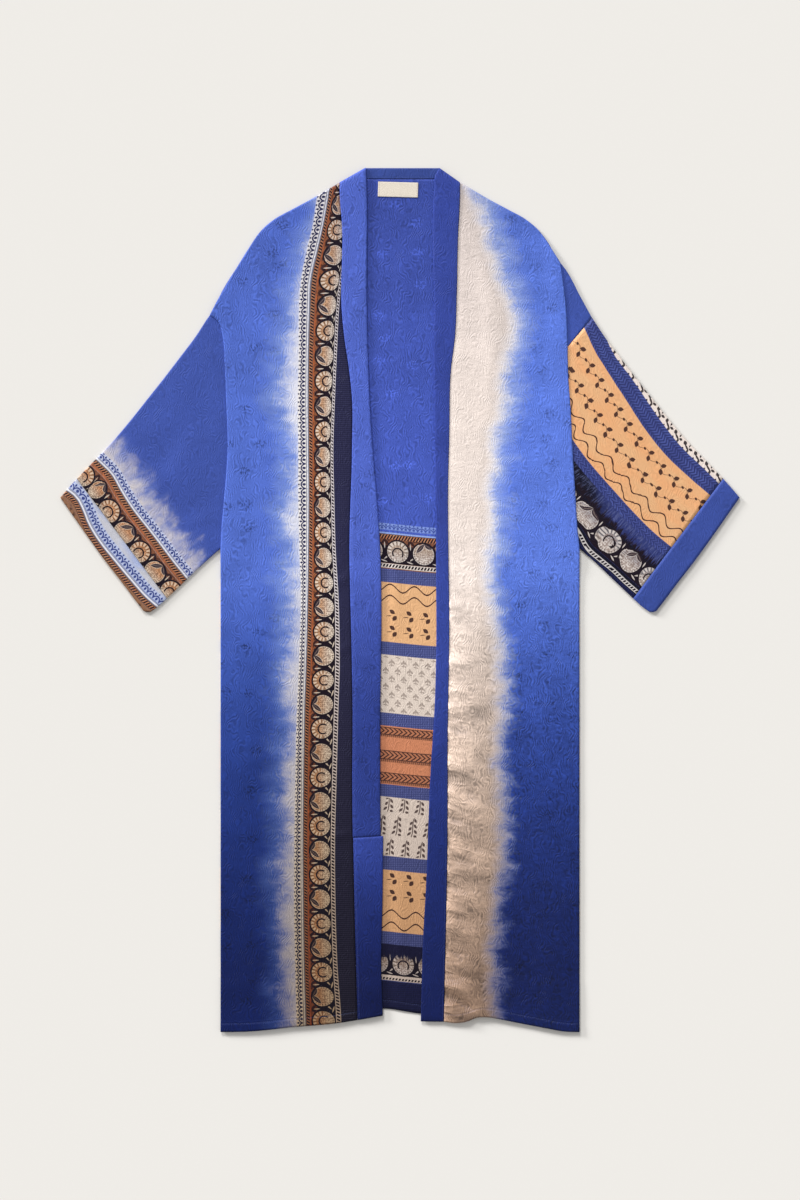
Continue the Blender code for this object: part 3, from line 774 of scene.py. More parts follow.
@motif
def leafVine(paint, x, s, pitch, sway):
    # a thin stem that winds along s, with a leaf to each side and a bud at each turn
    y = s.cell(pitch)
    stem = abs(x - ((y - 1.0) * (2 * math.pi / pitch)).math("COSINE") * sway).below(0.55, 0.35) * 0.75
    stalk = leaf(x, y, -2.6, -4.6, 172, 3.2, 0.6) * 0.75
    pair = leaves(
        x, y, (-5.6, -5.2, 143, 4.6, 3.1), (sway + 0.6, -2.4, 36, 4.8, 2.9), (-sway * 0.5, 9.6, 70, 2.6, 1.8),
    )
    return stem.either(stalk).either(pair)


@motif
def feathers(paint, d, s, low, high):
    # a ragged edge of fine upright strokes between two distances
    ragged = paint.noise(s, d, 2.4, 16.0, 2.0, 2.4)
    return (d.scaled(1 / (high - low), -low / (high - low)) + ragged * 0.6).above(0.5, 0.25)


@motif
def leafRow(paint, colour, d, s):
    # pairs of dark leaves in a row, each with a short stem
    x, y = s.cell(24.2, 6.0), d * -1.0
    pair = leaves(x, y, (-2.0, 4.8, -34, 4.6, 3.0), (1.4, -4.2, 54, 4.6, 3.0), (-6.6, -1.4, 8, 4.6, 0.6))
    return paint.mix(colour, "leaf", pair * y.near(0.0, 12.0) * 0.95)


@motif
def sprigField(paint, colour, d, s):
    # faint small sprigs, each row set half a step on
    half = (d.index(11.6) * 0.5).part().above(0.25, 0.05) * 8.7
    x, y = (s + half).cell(17.4), d.cell(11.6)
    bloom = leaves(
        x, y, (0.0, -2.6, 90, 3.4, 1.5), (2.6, -1.0, 50, 3.0, 1.3), (-2.6, -1.0, 130, 3.0, 1.3),
        (0.0, 2.4, 90, 3.4, 0.7), (1.9, 3.4, 20, 2.0, 0.8), (-1.9, 3.0, 160, 2.0, 0.8),
    )
    return paint.mix(colour, "taupe", bloom * 0.7)


@motif
def braid(paint, colour, d, s, half):
    # a braided line between thin rails of ticks
    colour = paint.mix(colour, "umber", d.near(0.0, half, 0.5) * 0.35)
    plait = abs((s + abs(d + half * 0.25) * 1.25).cell(6.6)).below(1.35, 0.5)
    plait = plait * d.between(-half * 0.85, half * 0.4, 0.4)
    ticks = s.cell(2.9).near(0.0, 0.8, 0.4) * d.between(half * 0.55, half * 0.9, 0.3)
    rails = abs(abs(d + half * 0.22) - half * 0.7).below(0.65, 0.3)
    return paint.mix(colour, "ink", plait.either(rails).either(ticks * 0.8) * 0.92)


@motif
def vineField(paint, colour, d, s):
    # slanting sprays on cream
    x, y = (s + d * 0.32).cell(22.5), d.cell(33.5, 8.0)
    x = x - (y * 0.13).sine() * 2.2
    stem = abs(x).below(0.75, 0.4) * y.near(0.0, 14.0, 1.0)
    sprays = leaves(
        x, y, (3.0, -10.0, 60, 3.4, 1.7), (-2.6, -6.0, 120, 3.2, 1.7), (3.6, -2.0, 56, 3.6, 1.8),
        (-3.6, 2.2, 124, 3.4, 1.8), (4.2, 6.0, 52, 3.6, 1.9), (-4.4, 9.6, 128, 3.6, 1.9),
        (5.0, 12.6, 20, 3.0, 1.7),
    )
    return paint.mix(colour, "leaf", stem.either(sprays) * 0.9)


@motif
def foldVine(paint, colour, d, s):
    # small curls in a narrow strip, three strokes at a time
    x, y = d * 0.84, s.cell(23.0) * 0.84
    curl = leaves(
        x, y, (-2.0, -5.4, 60, 3.2, 2.2), (0.6, 0.2, 74, 6.2, 1.2), (3.6, 4.2, 30, 2.6, 1.5),
        (-0.8, 6.4, 100, 3.0, 1.6), (4.6, -3.6, 20, 1.6, 1.3), (-3.6, 2.2, 20, 2.4, 1.1),
    )
    return paint.mix(colour, "ink", curl * 0.95)


@motif
def deepened(paint, colour, y, hem, top, bottom):
    # darkens the colour from one height to another, and hem is what is left of it at the second. Towards the
    # hem this is painted shade, where the light falls off
    fall = down(top) - down(bottom)
    share = y.scaled(-1 / fall, down(top) / fall).both(1.0).either(0.0)
    left = [(share * math.log(part)).math("EXPONENT") for part in hem]
    tint = addNode(paint.tree, "ShaderNodeCombineColor", dict(enumerate(left)))
    return paint.mix(colour, tint.outputs[0], 1.0, "MULTIPLY")


def mottled(cloth, d, s, first, second):
    return cloth.mix(first, second, cloth.noise(d, s, 5, 8, 2.0, 7.0).above(0.0, 0.4) * 0.8)


def stitchedHem(cloth, colour, hemAway, run, at=12.0):
    thread = stitchLine(cloth, hemAway, run, at, 3.0)
    cloth.reliefs += [(thread, 0.25), (hemAway.near(at, 1.2, 1.0) * -1.0, 0.35)]
    return cloth.mix(colour, "thread", thread * 0.12)


def blueCloth(name, look):
    # blue jacquard, as a look says. shift moves the weave, so that no two cloths match
    cloth, shift = Cloth(name, roughness=0.44), look["shift"]
    (x, y), (d, s) = cloth.maps("cloth", "border")
    grass = grassWeave(cloth, x + shift, y)
    tone = grass * look["weave"] + cloth.noise(x + shift, y, 50, 60, 2.0) * 0.16 + 1.0
    if look["sprigTone"]:
        tone = tone + sprigs(cloth, x + shift, y) * look["sprigTone"]
    cloth.reliefs += [
        (grass, look["relief"]), (cloth.noise(x, y, 13, 12, 2.0), 0.2), (silkWeave(cloth, x, y), 0.05),
    ]
    return cloth, cloth.toned(look["silk"], tone), (x, y), (d, s), grass


# the fronts. In these dictionaries the dyes' borders are in the photograph's pixels, from the top down
rightFront = {
    "name": "rightFront", "node": "front_right", "slot": "dipped_silk", "side": -1,
    "armhole": armholeRight, "bandSeam": bandSeamRight, "hem": hemRight, "pucker": 1.6,
    "folds": creases(
        (-205, 380, -190, 60, 26, 0.9), (-148, 490, -132, 120, 20, 1.1), (-232, 20, -222, -280, 22, 0.9),
        (-150, 60, -142, -330, 22, 1.0), (-245, -236, -95, -224, 22, 0.9), (-116, -290, -104, -610, 20, 1.2),
        (-205, -360, -190, -640, 26, 1.4),
    ),
    "puckers": creases(
        (-212, -30, -176, -60, 6, 0.9), (-206, -44, -172, -66, 5, -0.6), (-66, 470, -96, 440, 8, 0.5),
        (-66, 40, -100, 20, 7, 0.6), (-64, -60, -104, -84, 7, 0.6), (-64, -336, -110, -344, 7, 0.8),
        (-240, -236, -150, -226, 8, 0.5), (-130, -560, -150, -620, 9, 0.7),
    ),
    "silk": (88, 115, 207), "silkAtHem": (0.03, 0.06, 0.13),  # the dye, and how much of it painted shade leaves at the hem
    "weave": 0.18, "clouds": 0.24, "sprigTone": -0.42, "relief": 0.11,
    "medallion": (15.1, 35.3),  # its radius and the pitch of the row, in mm
    "pitches": (583, 25.2, 24.3),  # a place on the photograph, and the row's pitch above it and below
    # the border's rows, in mm from its white line
    "rows": {
        "edge": -11.6, "chain": -6.4, "comb": (3.3, 7.4), "brown": (8.1, 12.4), "medallions": 26.2,
        "ladder": 44.6, "checks": 47.4,
    },
    # the heights between which the colours darken: painted shade towards the hem, and darker towards the neck
    "blueDeepens": (575, 975), "paleDeepens": (560, 1010), "borderDeepens": (600, 1010),
    "fadesUp": (420, 180),
    # y, chain, white line, medallions, ladder
    "border": [
        (180, 324, 330, 343, 356), (200, 320.5, 327, 340, 353), (225, 316.5, 322.5, 336, 349),
        (250, 310.5, 316.5, 335, 346), (280, 304.3, 309.6, 333, 341), (310, 302.5, 308.3, 329, 337.8),
        (350, 302, 307.3, 326.3, 335.8), (400, 301.3, 307, 325.3, 333.8), (450, 301.8, 307.5, 324, 332.3),
        (500, 302, 308, 322.8, 333), (550, 302.5, 307.5, 323.5, 334.3), (600, 303, 306.6, 324.2, 337),
        (662, 301.4, 305.2, 323, 337.8), (709, 299.5, 303.6, 321.8, 336.5), (773, 298.2, 302.7, 319.8, 334.8),
        (837, 297.3, 302, 319.6, 333.3), (900, 297.2, 302.3, 319.8, 333.6), (964, 298.2, 303.2, 321, 335.5),
        (1012, 299.5, 304.6, 322, 338.7), (1035, 300, 305, 322.5, 339.5),
    ],
    "borderLevels": (-5.0, 0.0, 17.8, 31.0),
    # y, and where the blue dye ends
    "dye": [
        (180, 322), (212, 318), (237, 308), (262, 299), (312, 291), (345, 284), (375, 282), (400, 277),
        (415, 284), (437, 290), (475, 290), (512, 285), (550, 290), (575, 287), (605, 287), (620, 290),
        (655, 285), (680, 281), (705, 286), (730, 288), (767, 282), (805, 279), (830, 282), (867, 277),
        (905, 278), (942, 281), (980, 279), (1035, 283),
    ],
}
leftFront = {
    "name": "leftFront", "node": "front_left", "slot": "cream_silk", "side": 1,
    "armhole": armholeLeft, "bandSeam": bandSeamLeft, "hem": hemLeft, "pucker": 2.2,
    "folds": creases(
        (120, 575, 142, 225, 16, 1.5), (186, 480, 192, 150, 26, 0.9), (120, 130, 132, -190, 22, 1.0),
        (205, 60, 214, -260, 24, 0.9), (240, -158, 105, -176, 20, 0.9), (136, -300, 142, -640, 24, 1.3),
        (216, -380, 224, -640, 22, 1.2),
    ),
    "puckers": creases(
        (64, -5, 92, -12, 5, 0.7), (64, -24, 88, -30, 5, 0.6), (62, -86, 108, -96, 7, 1.3),
        (62, -104, 96, -112, 5, -0.6), (62, -128, 100, -138, 6, 0.9), (62, -148, 112, -170, 7, 1.3),
        (64, -164, 104, -192, 6, -0.7), (62, -180, 120, -216, 8, 1.2), (62, -200, 96, -222, 5, -0.6),
        (60, -222, 112, -272, 8, 1.5), (60, -246, 104, -292, 6, -0.8), (62, -268, 124, -318, 9, 1.3),
        (60, -294, 104, -318, 6, 1.0), (60, -318, 120, -352, 9, 1.9), (60, -336, 112, -372, 7, -0.9),
        (60, -360, 100, -376, 6, 0.9), (60, -384, 116, -404, 8, 1.1), (60, -412, 96, -420, 5, -0.5),
        (58, -440, 112, -462, 8, 1.3), (58, -470, 124, -488, 9, 1.0), (58, -496, 100, -506, 6, -0.6),
        (56, -506, 104, -514, 4, -1.4), (56, -524, 116, -544, 8, 1.5), (56, -548, 110, -574, 8, 2.2),
        (54, -564, 112, -596, 5, -2.2), (56, -588, 108, -612, 8, 1.6), (88, -560, 128, -616, 9, 1.2),
        (96, -30, 150, -60, 16, 0.5), (110, -250, 170, -290, 16, 0.6), (104, -420, 168, -470, 18, 0.7),
    ),
    # the blue dye, then what painted shade leaves of the blue and the cream at the hem, and the heights
    # between which they darken
    "silk": (97, 127, 224), "silkAtHem": (0.03, 0.05, 0.11), "creamAtHem": (0.315, 0.233, 0.172),
    "blueDeepens": (575, 965), "paleDeepens": (575, 1005), "fadesUp": (420, 180),
    "weave": 0.14, "clouds": 0.2, "sprigTone": -0.34, "relief": 0.11, "crinkle": 2.3,
    "dye": [
        (180, 466), (200, 473), (237, 486), (275, 496), (312, 511), (337, 511), (362, 502), (390, 500),
        (412, 499), (437, 491), (462, 493), (487, 486), (512, 491), (550, 486), (600, 488), (620, 492),
        (650, 495), (700, 498), (750, 495), (797, 498), (850, 499), (880, 497), (930, 491), (960, 489),
        (1035, 493),
    ],
}


def rightFrontMaps(x, y):
    px, py = onPhoto(x, y)
    d = levelled(px, readTable(rightFront["border"], py), rightFront["borderLevels"]) * pixel
    turn, above, below = rightFront["pitches"]
    s = (turn - py) / (above if py < turn else below) * rightFront["medallion"][1]
    dye = (readTable(rightFront["dye"], py)[0] - px) * pixel
    return {"border": (d * mm, s * mm), "dye": (dye * mm, 0.0)}


def rightFrontCloth():
    look = rightFront
    cloth = Cloth("dipped blue silk", roughness=0.44)
    (x, y), (d, s), (dye, _), (hemAway, run) = cloth.maps("cloth", "border", "dye", "hem")
    grass = grassWeave(cloth, x, y)
    cloud = cloth.noise(x, y, 60, 50, 2.0, 4.0)
    tone = grass * look["weave"] + cloud * look["clouds"] + sprigs(cloth, x, y) * look["sprigTone"] + 1.0
    blue = cloth.toned(look["silk"], tone)
    fringe = dye + strayed(cloth, x, y) * 0.85 + grass * 2.8
    # painted shade: the blue, the pale blue and the white darken towards the hem
    blue = deepened(cloth, blue, y, look["silkAtHem"], *look["blueDeepens"])
    pale = deepened(cloth, "paleBlue", y, (0.12, 0.16, 0.28), *look["paleDeepens"])
    colour = cloth.mix(blue, pale, fringe.below(9.0, 28.0) * 0.85)
    white = deepened(cloth, "white", y, (0.37, 0.31, 0.26), *look["paleDeepens"])
    colour = cloth.mix(colour, white, fringe.below(-9.5, 19.0) * 0.97)
    at = look["rows"]
    border = chainTrim(
        cloth, cloth.toned("white", 1.0), d, s, at["chain"], (44, 44, 84), (246, 240, 234), size=1.15,
    )
    border = cloth.mix(border, "slate", d.near(-1.4, 0.4, 0.25).either(d.near(1.5, 0.6, 0.25)) * 0.85)
    border = comb(cloth, border, d, s, *at["comb"])
    brown = mottled(cloth, d, s, (190, 102, 54), (138, 80, 50))
    border = cloth.mix(border, brown, d.between(*at["brown"], 0.4))
    tints = (150, 92, 58), (214, 164, 122), (242, 227, 210)
    border = roundels(cloth, border, d - at["medallions"], s, *look["medallion"], *tints)
    border = ladder(cloth, border, d, s, at["ladder"], 2.3, (228, 218, 218))
    border = cloth.mix(
        border, checks(cloth, x, y, (35, 33, 53), (68, 68, 104), 2.9), d.above(at["checks"], 0.6),
    )
    # painted shade: the border darkens towards the hem
    border = deepened(
        cloth, cloth.toned(border, grass * 0.04 + 1.0), y, (0.4, 0.31, 0.21), *look["borderDeepens"],
    )
    colour = cloth.mix(colour, border, (d + grass * 0.4).above(at["edge"], 1.0))
    # darker towards the neck
    colour = deepened(cloth, colour, y, (0.78, 0.78, 0.82), *look["fadesUp"])
    colour = stitchedHem(cloth, colour, hemAway, run)
    cloth.reliefs += [(grass, look["relief"]), (silkWeave(cloth, x, y), 0.05)]
    return cloth.finish(colour, grass * -0.04 + 0.44)


def leftFrontMaps(x, y):
    px, py = onPhoto(x, y)
    return {"dye": ((px - readTable(leftFront["dye"], py)[0]) * pixel * mm, 0.0)}


def leftFrontCloth():
    look = leftFront
    cloth = Cloth("cream and blue satin", roughness=0.36, specular=0.35)
    (x, y), (dye, _), (hemAway, run) = cloth.maps("cloth", "dye", "hem")
    grass = grassWeave(cloth, x + 311.0, y)
    cloud = cloth.noise(x, y, 60, 50, 2.0, 2.0)
    lower = y.below(-20.0, 200.0)
    crush = cloth.noise(x, y, 9, 6, 2.0, 1.0)
    # the crush's relief is also painted into the colour, here and in the cream, as painted sheen and shade of
    # crushed silk
    blueToneAndShade = grass * (lower * 0.14 + look["weave"]) + cloud * look["clouds"] + crush * lower * 0.42
    blueToneAndShade = blueToneAndShade + sprigs(cloth, x + 311.0, y) * look["sprigTone"] + 1.0
    # painted shade: the blue darkens towards the hem
    blue = deepened(cloth, cloth.toned(look["silk"], blueToneAndShade), y, look["silkAtHem"], *look["blueDeepens"])
    crinkle = crinkled(cloth, x, y, dye)
    shaded = dye.near(-12.0, 4.0, 9.0) * -0.1
    # painted highlight on the cream by the band's seam, in the lower part
    paintedSeamHighlight = dye.below(-55.0, 12.0) * lower * 0.14
    # the cream's tone: weave and clouds, with painted shade and highlight from the crush and the crinkles
    creamToneAndShade = grass * (lower * 0.19 + 0.04) + cloud * 0.05 + crush * (lower * 0.2 + 0.05)
    creamToneAndShade = creamToneAndShade + crinkle * 0.5 + shaded + paintedSeamHighlight + 1.0
    stray = strayed(cloth, x + 311.0, y) + grass * 3.2 + crush * lower * 9.0
    # painted shade: the cream, the white and the pale blue darken towards the hem
    colour = deepened(cloth, cloth.toned("cream", creamToneAndShade), y, look["creamAtHem"], *look["paleDeepens"])
    white = deepened(cloth, "white", y, (0.22, 0.2, 0.24), *look["paleDeepens"])
    colour = cloth.mix(colour, white, (dye + stray * 0.4).above(-3.0, 12.0) * 0.85)
    pale = deepened(cloth, "paleBlue", y, (0.12, 0.14, 0.24), *look["paleDeepens"])
    colour = cloth.mix(colour, pale, (dye + stray * 0.6).above(8.0, 13.0) * 0.9)
    inBlue = (dye + stray * 0.9 + lower * 8.0 - 24.0) * (lower * 0.9 + 1.0)
    colour = cloth.mix(colour, blue, inBlue.above(0.0, 24.0))
    # darker towards the neck
    colour = deepened(cloth, colour, y, (0.78, 0.78, 0.8), *look["fadesUp"])
    colour = stitchedHem(cloth, colour, hemAway, run)
    cloth.reliefs += [
        (grass, look["relief"]), (crush, 0.25), (crinkle, look["crinkle"]), (silkWeave(cloth, x, y), 0.05),
    ]
    return cloth.finish(colour, grass * -0.05 + 0.38)


# how a front lies. Each pair says where a change starts and over what length it comes
frontLay = {
    "onSleeve": (-50, 40), "offSleeve": (8, 45),  # from the underarm up, and from the armhole in
    "air": 0.8, "airInwards": (0, 60), "airDownwards": (-110, 200),
    "foldsInwards": (-12, 40),
    "uneven": (38, 0.35), "unevenInwards": (0, 20),  # the size and height of small waves, away from the band
    "seamPull": 0.5, "pullInwards": (0, 9),  # how far the band's seam pulls the cloth down
}


def frontUnderside(x, y, edge, armholeTop, folds):
    overSleeve = (robe["onSleeve"] - robe["onBack"]) * (1 - rising(edge, *frontLay["offSleeve"]))
    overSleeve *= rising(y - robe["underarm"], *frontLay["onSleeve"])
    air = frontLay["air"] * rising(edge, *frontLay["airInwards"])
    air *= rising(armholeTop - y, *frontLay["airDownwards"])
    fallen = lift(folds, x, y) * rising(edge, *frontLay["foldsInwards"])
    return robe["onBack"] + hemStep(y) + overSleeve + air + fallen


def makeFront(front, material, mapsOf):
    side, armhole, hem = front["side"], front["armhole"], front["hem"]
    top = shoulder if side > 0 else flipped(shoulder) + [Spot(-264, 435), armhole[0]]
    inner = shifted(front["bandSeam"], side * robe["seam"] / 2)
    outer = [*rounded(armhole[:-1]), Spot(armhole[-1].x, armhole[-1].y, True), Spot(armhole[-1].x, hem[0].y)]
    hem = [*hem[:-1], inner[-1]]
    top = [inner[0], *top[1:]]
    knot = robe["sideKnot"]
    flat = panel(reverse(outer), reverse(inner), hem, reverse(top), alongKnots=(knot,))

    def place(across, along):
        spot, low, outside, seam = flat(across, along), flat(across, 0), flat(0, along), flat(1, along)
        x, y = spot
        edge, seamAway, hemAway = away(outside, spot), away(seam, spot), away(spot, low)
        z = frontUnderside(x, y, edge, armhole[0].y, front["folds"])
        z += front["pucker"] * lift(front["puckers"], x, y)
        z += unevenness(x, y, *frontLay["uneven"]) * rising(seamAway, *frontLay["unevenInwards"])
        z -= frontLay["seamPull"] * (1 - rising(seamAway, *frontLay["pullInwards"]))
        z = max(z, robe["wall"] + 0.1)  # clear of the back
        return (x, y, z), {"cloth": (x * mm, y * mm), "hem": (hemAway * mm, x * mm), **mapsOf(x, y)}

    columns, rows = (round(size / robe["step"]) for size in robe["frontSize"])
    below = round(rows * knot)
    along = steps(below, 0, knot)[:-1] + steps(rows - below, knot, 1)
    bm = clothGrid(steps(columns), along, place)
    hemRows = set()
    layer = bm.loops.layers.uv["hem"]
    for face in bm.faces:
        for loop in face.loops:
            if loop[layer].uv.x < robe["hemDepth"] * mm:
                hemRows.add(loop.vert.index)
    piece = makePiece(front["name"], bm, material, front["slot"])
    thick = piece.vertex_groups.new(name="hem")
    for vert in piece.data.vertices:
        thick.add([vert.index], 1.0 if vert.index in hemRows else robe["wall"] / robe["hemWall"], "REPLACE")
    wall = giveWall(piece, robe["hemWall"], outwards=side < 0)
    wall.vertex_group = "hem"
    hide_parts(front["node"])
    sleeve = "sleeve_right" if side < 0 else "sleeve_left"


# the back. Its printed rows are in the photograph's pixels, from the top down
back = {
    "silk": (75, 95, 188), "weave": 0.2, "sprigTone": 0.55, "relief": 0.11, "shift": 631.0,
    # the heights where the blue is darker towards the neck, and where painted shade darkens the print towards
    # the hem
    "fadesUp": (420, 200), "deepens": (700, 980),
    # how its rows curve, by how much and over what length
    "middle": 397.8, "bend": (4.0, 55), "sway": (1.1, 31),
    "folds": creases(
        (-6, 105, -8, -85, 9, 1.2), (4, 540, 2, 250, 15, 0.9), (-2, -330, 2, -640, 11, 1.2),
    ),
    "knotsAlong": (0.56, 0.57, 0.94, 0.975), "knotsAcross": (0.36, 0.68),  # shares of its length and width
    "uneven": (30, 0.2), "unevenOutwards": (30, 20),  # small waves, which end under the fronts
    "medallion": (16.4, 37.4),  # its radius and the pitch of the row, in mm
    "chainRow": (523, 533), "print": 533.4, "comb": (536, 540.5), "shellRow": (945, 977.5),
    "feathers": (950, 967),
    "checks": 982, "chain": 528, "medallions": 552.3, "ladder": 566.8,
    "grounds": (
        (533.4, 535.2, "paleBlue"), (535.2, 570, "umber"), (583.5, 643, "peach"), (656, 714, "shell"),
        (727, 785.5, "terracotta"), (798, 857, "shell"), (871, 932.5, "peach"), (966, 981, "shell"),
    ),
    "waves": ((589, 600, 2.0), (914.5, 926.5, 0.0)),
    "leaves": (616, 632, 879.5, 896),
    "sprigs": (657, 713), "vines": (799, 856),
    "braids": ((728.3, 738.3), (751.3, 763.5), (773.5, 785)),
    "shells": 964, "lastLadder": 979.5,
}


def backMaps(x, y):
    px, py = onPhoto(x, y)
    (bend, bendLength), (sway, swayLength) = back["bend"], back["sway"]
    across = px - middle[0]
    row = py - bend * math.tanh(across / bendLength) - sway * math.sin(across / swayLength)
    return {"border": (row * mm, (px - back["middle"]) * mm)}


def backCloth():
    cloth, colour, (x, y), (row, s), grass = blueCloth("printed silk", back)
    hemAway, run = cloth.map("hem")
    d, s = row * pixel, s * pixel

    def rows(low, high):
        return d.between(low * pixel, high * pixel, 0.6)

    # darker towards the neck
    colour = deepened(cloth, colour, y, (0.7, 0.7, 0.72), *back["fadesUp"])
    lower = checks(cloth, x, y, (66, 72, 122), (104, 112, 166), 2.6)
    for low, high, dye in back["grounds"]:
        lower = cloth.mix(lower, dye, rows(low, high))
    lower = comb(cloth, lower, d, s, *(place * pixel for place in back["comb"]))
    lower = roundels(
        cloth, lower, d - back["medallions"] * pixel, s, *back["medallion"], "umber", "stone", "pearl",
    )
    lower = ladder(cloth, lower, d, s, back["ladder"] * pixel, 2.6, "pearl")
    for first, second, start in back["waves"]:
        lower = cloth.mix(
            lower, "wave",
            waveLines(cloth, d - first * pixel, s + start, 0.0, (second - first) * pixel, 5.4, 35.2),
        )
    for place in back["leaves"]:
        lower = leafRow(cloth, lower, d - place * pixel, s)
    lower = cloth.mix(lower, sprigField(cloth, lower, d, s), rows(*back["sprigs"]))
    for low, high in back["braids"]:
        lower = cloth.mix(
            lower, braid(cloth, lower, d - (low + high) / 2 * pixel, s, (high - low) / 2 * pixel),
            rows(low, high),
        )
    lower = cloth.mix(lower, vineField(cloth, lower, d, s), rows(*back["vines"]))
    shells = roundels(
        cloth, lower, d - back["shells"] * pixel, s - 8.0, *back["medallion"], "deepNavy", "stone", "pearl",
    )
    high, low = (-place * pixel for place in back["feathers"])
    shells = cloth.mix(shells, "deepNavy", feathers(cloth, d * -1.0, s, low, high))
    lower = cloth.mix(lower, shells, rows(*back["shellRow"]))
    lower = ladder(cloth, lower, d, s, back["lastLadder"] * pixel, 1.8, "shell")
    lower = cloth.mix(
        lower, checks(cloth, x, y, "deepNavy", "navyThread", 2.9), d.above(back["checks"] * pixel, 0.6),
    )
    # painted shade: the printed rows darken towards the hem
    lower = deepened(cloth, cloth.toned(lower, grass * 0.05 + 1.0), y, (0.62, 0.58, 0.56), *back["deepens"])
    chain = chainTrim(cloth, colour, d, s, back["chain"] * pixel, "chainBlue", "paleBlue")
    colour = cloth.mix(
        cloth.mix(colour, chain, rows(*back["chainRow"]) * 0.8), lower, d.above(back["print"] * pixel, 0.5),
    )
    return cloth.finish(stitchedHem(cloth, colour, hemAway, run), grass * -0.04 + 0.46)


def makeBack(material):
    def side(armhole, sign):
        inset = sign * (robe["tuck"] + 4 * robe["seam"])
        return [
            *shifted(armhole[:-1], -inset),
            Spot(sign * robe["side"] - inset, robe["underarm"] + 16, True),
            Spot(sign * robe["side"], robe["underarm"] - 4, True),
            Spot(sign * robe["side"], hemBack[0].y),
        ]

    right, left = side(armholeRight, -1), side(armholeLeft, 1)
    neckY = neckSeam["height"] - robe["seam"]
    top = [
        right[0], Spot(-264, 434), *reverse(flipped(shoulder)),
        Spot(-neckSeam["half"], neckY, True), Spot(neckSeam["half"], neckY, True), *shoulder[:-1], left[0],
    ]
    flat = panel(reverse(right), reverse(left), hemBack, top, back["knotsAlong"], back["knotsAcross"])

    def place(across, along):
        x, y = spot = flat(across, along)
        hemAway = away(spot, flat(across, 0))
        waves = max(0.0, unevenness(x, y, *back["uneven"]))
        z = lift(back["folds"], x, y) + waves * (1 - rising(abs(x), *back["unevenOutwards"]))
        return (x, y, z), {"cloth": (x * mm, y * mm), "hem": (hemAway * mm, x * mm), **backMaps(x, y)}

    (width, length), fine = robe["backSize"], robe["step"]
    across = graded(width, back["knotsAcross"], (2.6 * fine, fine, 2.6 * fine))  # finest where it shows
    along = graded(length, back["knotsAlong"], [1.5 * fine] * 5, least=2)
    piece = makePiece("backPanel", clothGrid(across, along, place), material, "printed_silk")
    giveWall(piece, robe["wall"])
    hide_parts("back")


# the folded bands, each from its seam to its fold. Painted shade darkens each between two heights on the
# photograph, towards the hem
band = {
    "width": 38, "height": 2.6, "wall": 0.7, "foldRadius": 1.2,
    "endHeight": 1.6, "endLength": 7,  # each band is pressed flatter at its ends
    "plump": 0.35, "uneven": (30, 0.25),
    "neckRise": (535, 45),  # where it starts to rise onto the neck band, and over what length
    "folds": creases(
        (-58, 330, -50, 150, 24, 0.5), (-50, -20, -50, -210, 24, 0.5), (64, 520, 64, 380, 24, 0.5),
        (60, -250, 52, -420, 24, 0.5),
    ),
    "puckers": creases(
        (-62, -20, -30, -52, 7, 0.5), (-62, -76, -34, -96, 7, 0.5), (-60, -180, -30, -206, 8, 0.5),
        (-60, -452, -30, -462, 8, 0.45), (-58, -560, -30, -580, 9, 0.5), (66, 250, 52, 226, 8, 0.35),
        (66, -200, 44, -226, 8, 0.4),
    ),
}
rightBand = {
    "name": "rightBand", "node": "band_right", "fold": bandFoldRight, "flat": (0.1, 0.99),
    "silk": (84, 105, 198), "atHem": (0.3, 0.34, 0.44), "deepens": (560, 730), "weave": 0.18, "relief": 0.1,
    "sprigTone": -0.25, "shift": 20.0,
}
rightBandLower = {
    "name": "rightBandLower", "node": "band_right_lower", "fold": bandFoldLower, "flat": (0.1, 0.29),
    "silk": (56, 72, 150), "atHem": (0.08, 0.12, 0.2), "deepens": (850, 1000), "weave": 0.18, "relief": 0.1,
    "sprigTone": -0.1, "shift": 240.0,
}
leftBand = {
    "name": "leftBand", "node": "band_left", "fold": bandFoldLeft, "flat": (0.1, 1.25), "silk": (60, 76, 158),
    "atHem": (0.12, 0.17, 0.25), "deepens": (660, 1000), "weave": 0.12, "relief": 0.1, "sprigTone": 0.0,
    "shift": 270.0,
}


def bandCloth(name, look):
    cloth, colour, (_, y), (d, _), grass = blueCloth(name, look)
    # painted shade: the band darkens towards the hem, between its two heights
    colour = deepened(cloth, colour, y, look["atHem"], *look["deepens"])
    thread = stitchLine(cloth, d, y, 2.4, 2.8)
    cloth.reliefs += [(thread, 0.2), (d.near(2.4, 0.9, 0.8) * -1.0, 0.2)]
    return cloth.finish(cloth.mix(colour, "thread", thread * 0.15), grass * -0.04 + 0.42)


def stripRing(width, height, columns):
    return foldedRing(width, min(height / 2, band["foldRadius"]), columns)


def bandUnderside(x, y):
    overNeck = (robe["onNeckBand"] - robe["onBack"]) * rising(y, *band["neckRise"])
    return robe["onBack"] + overNeck + hemStep(y) + lift(band["folds"], x, y)


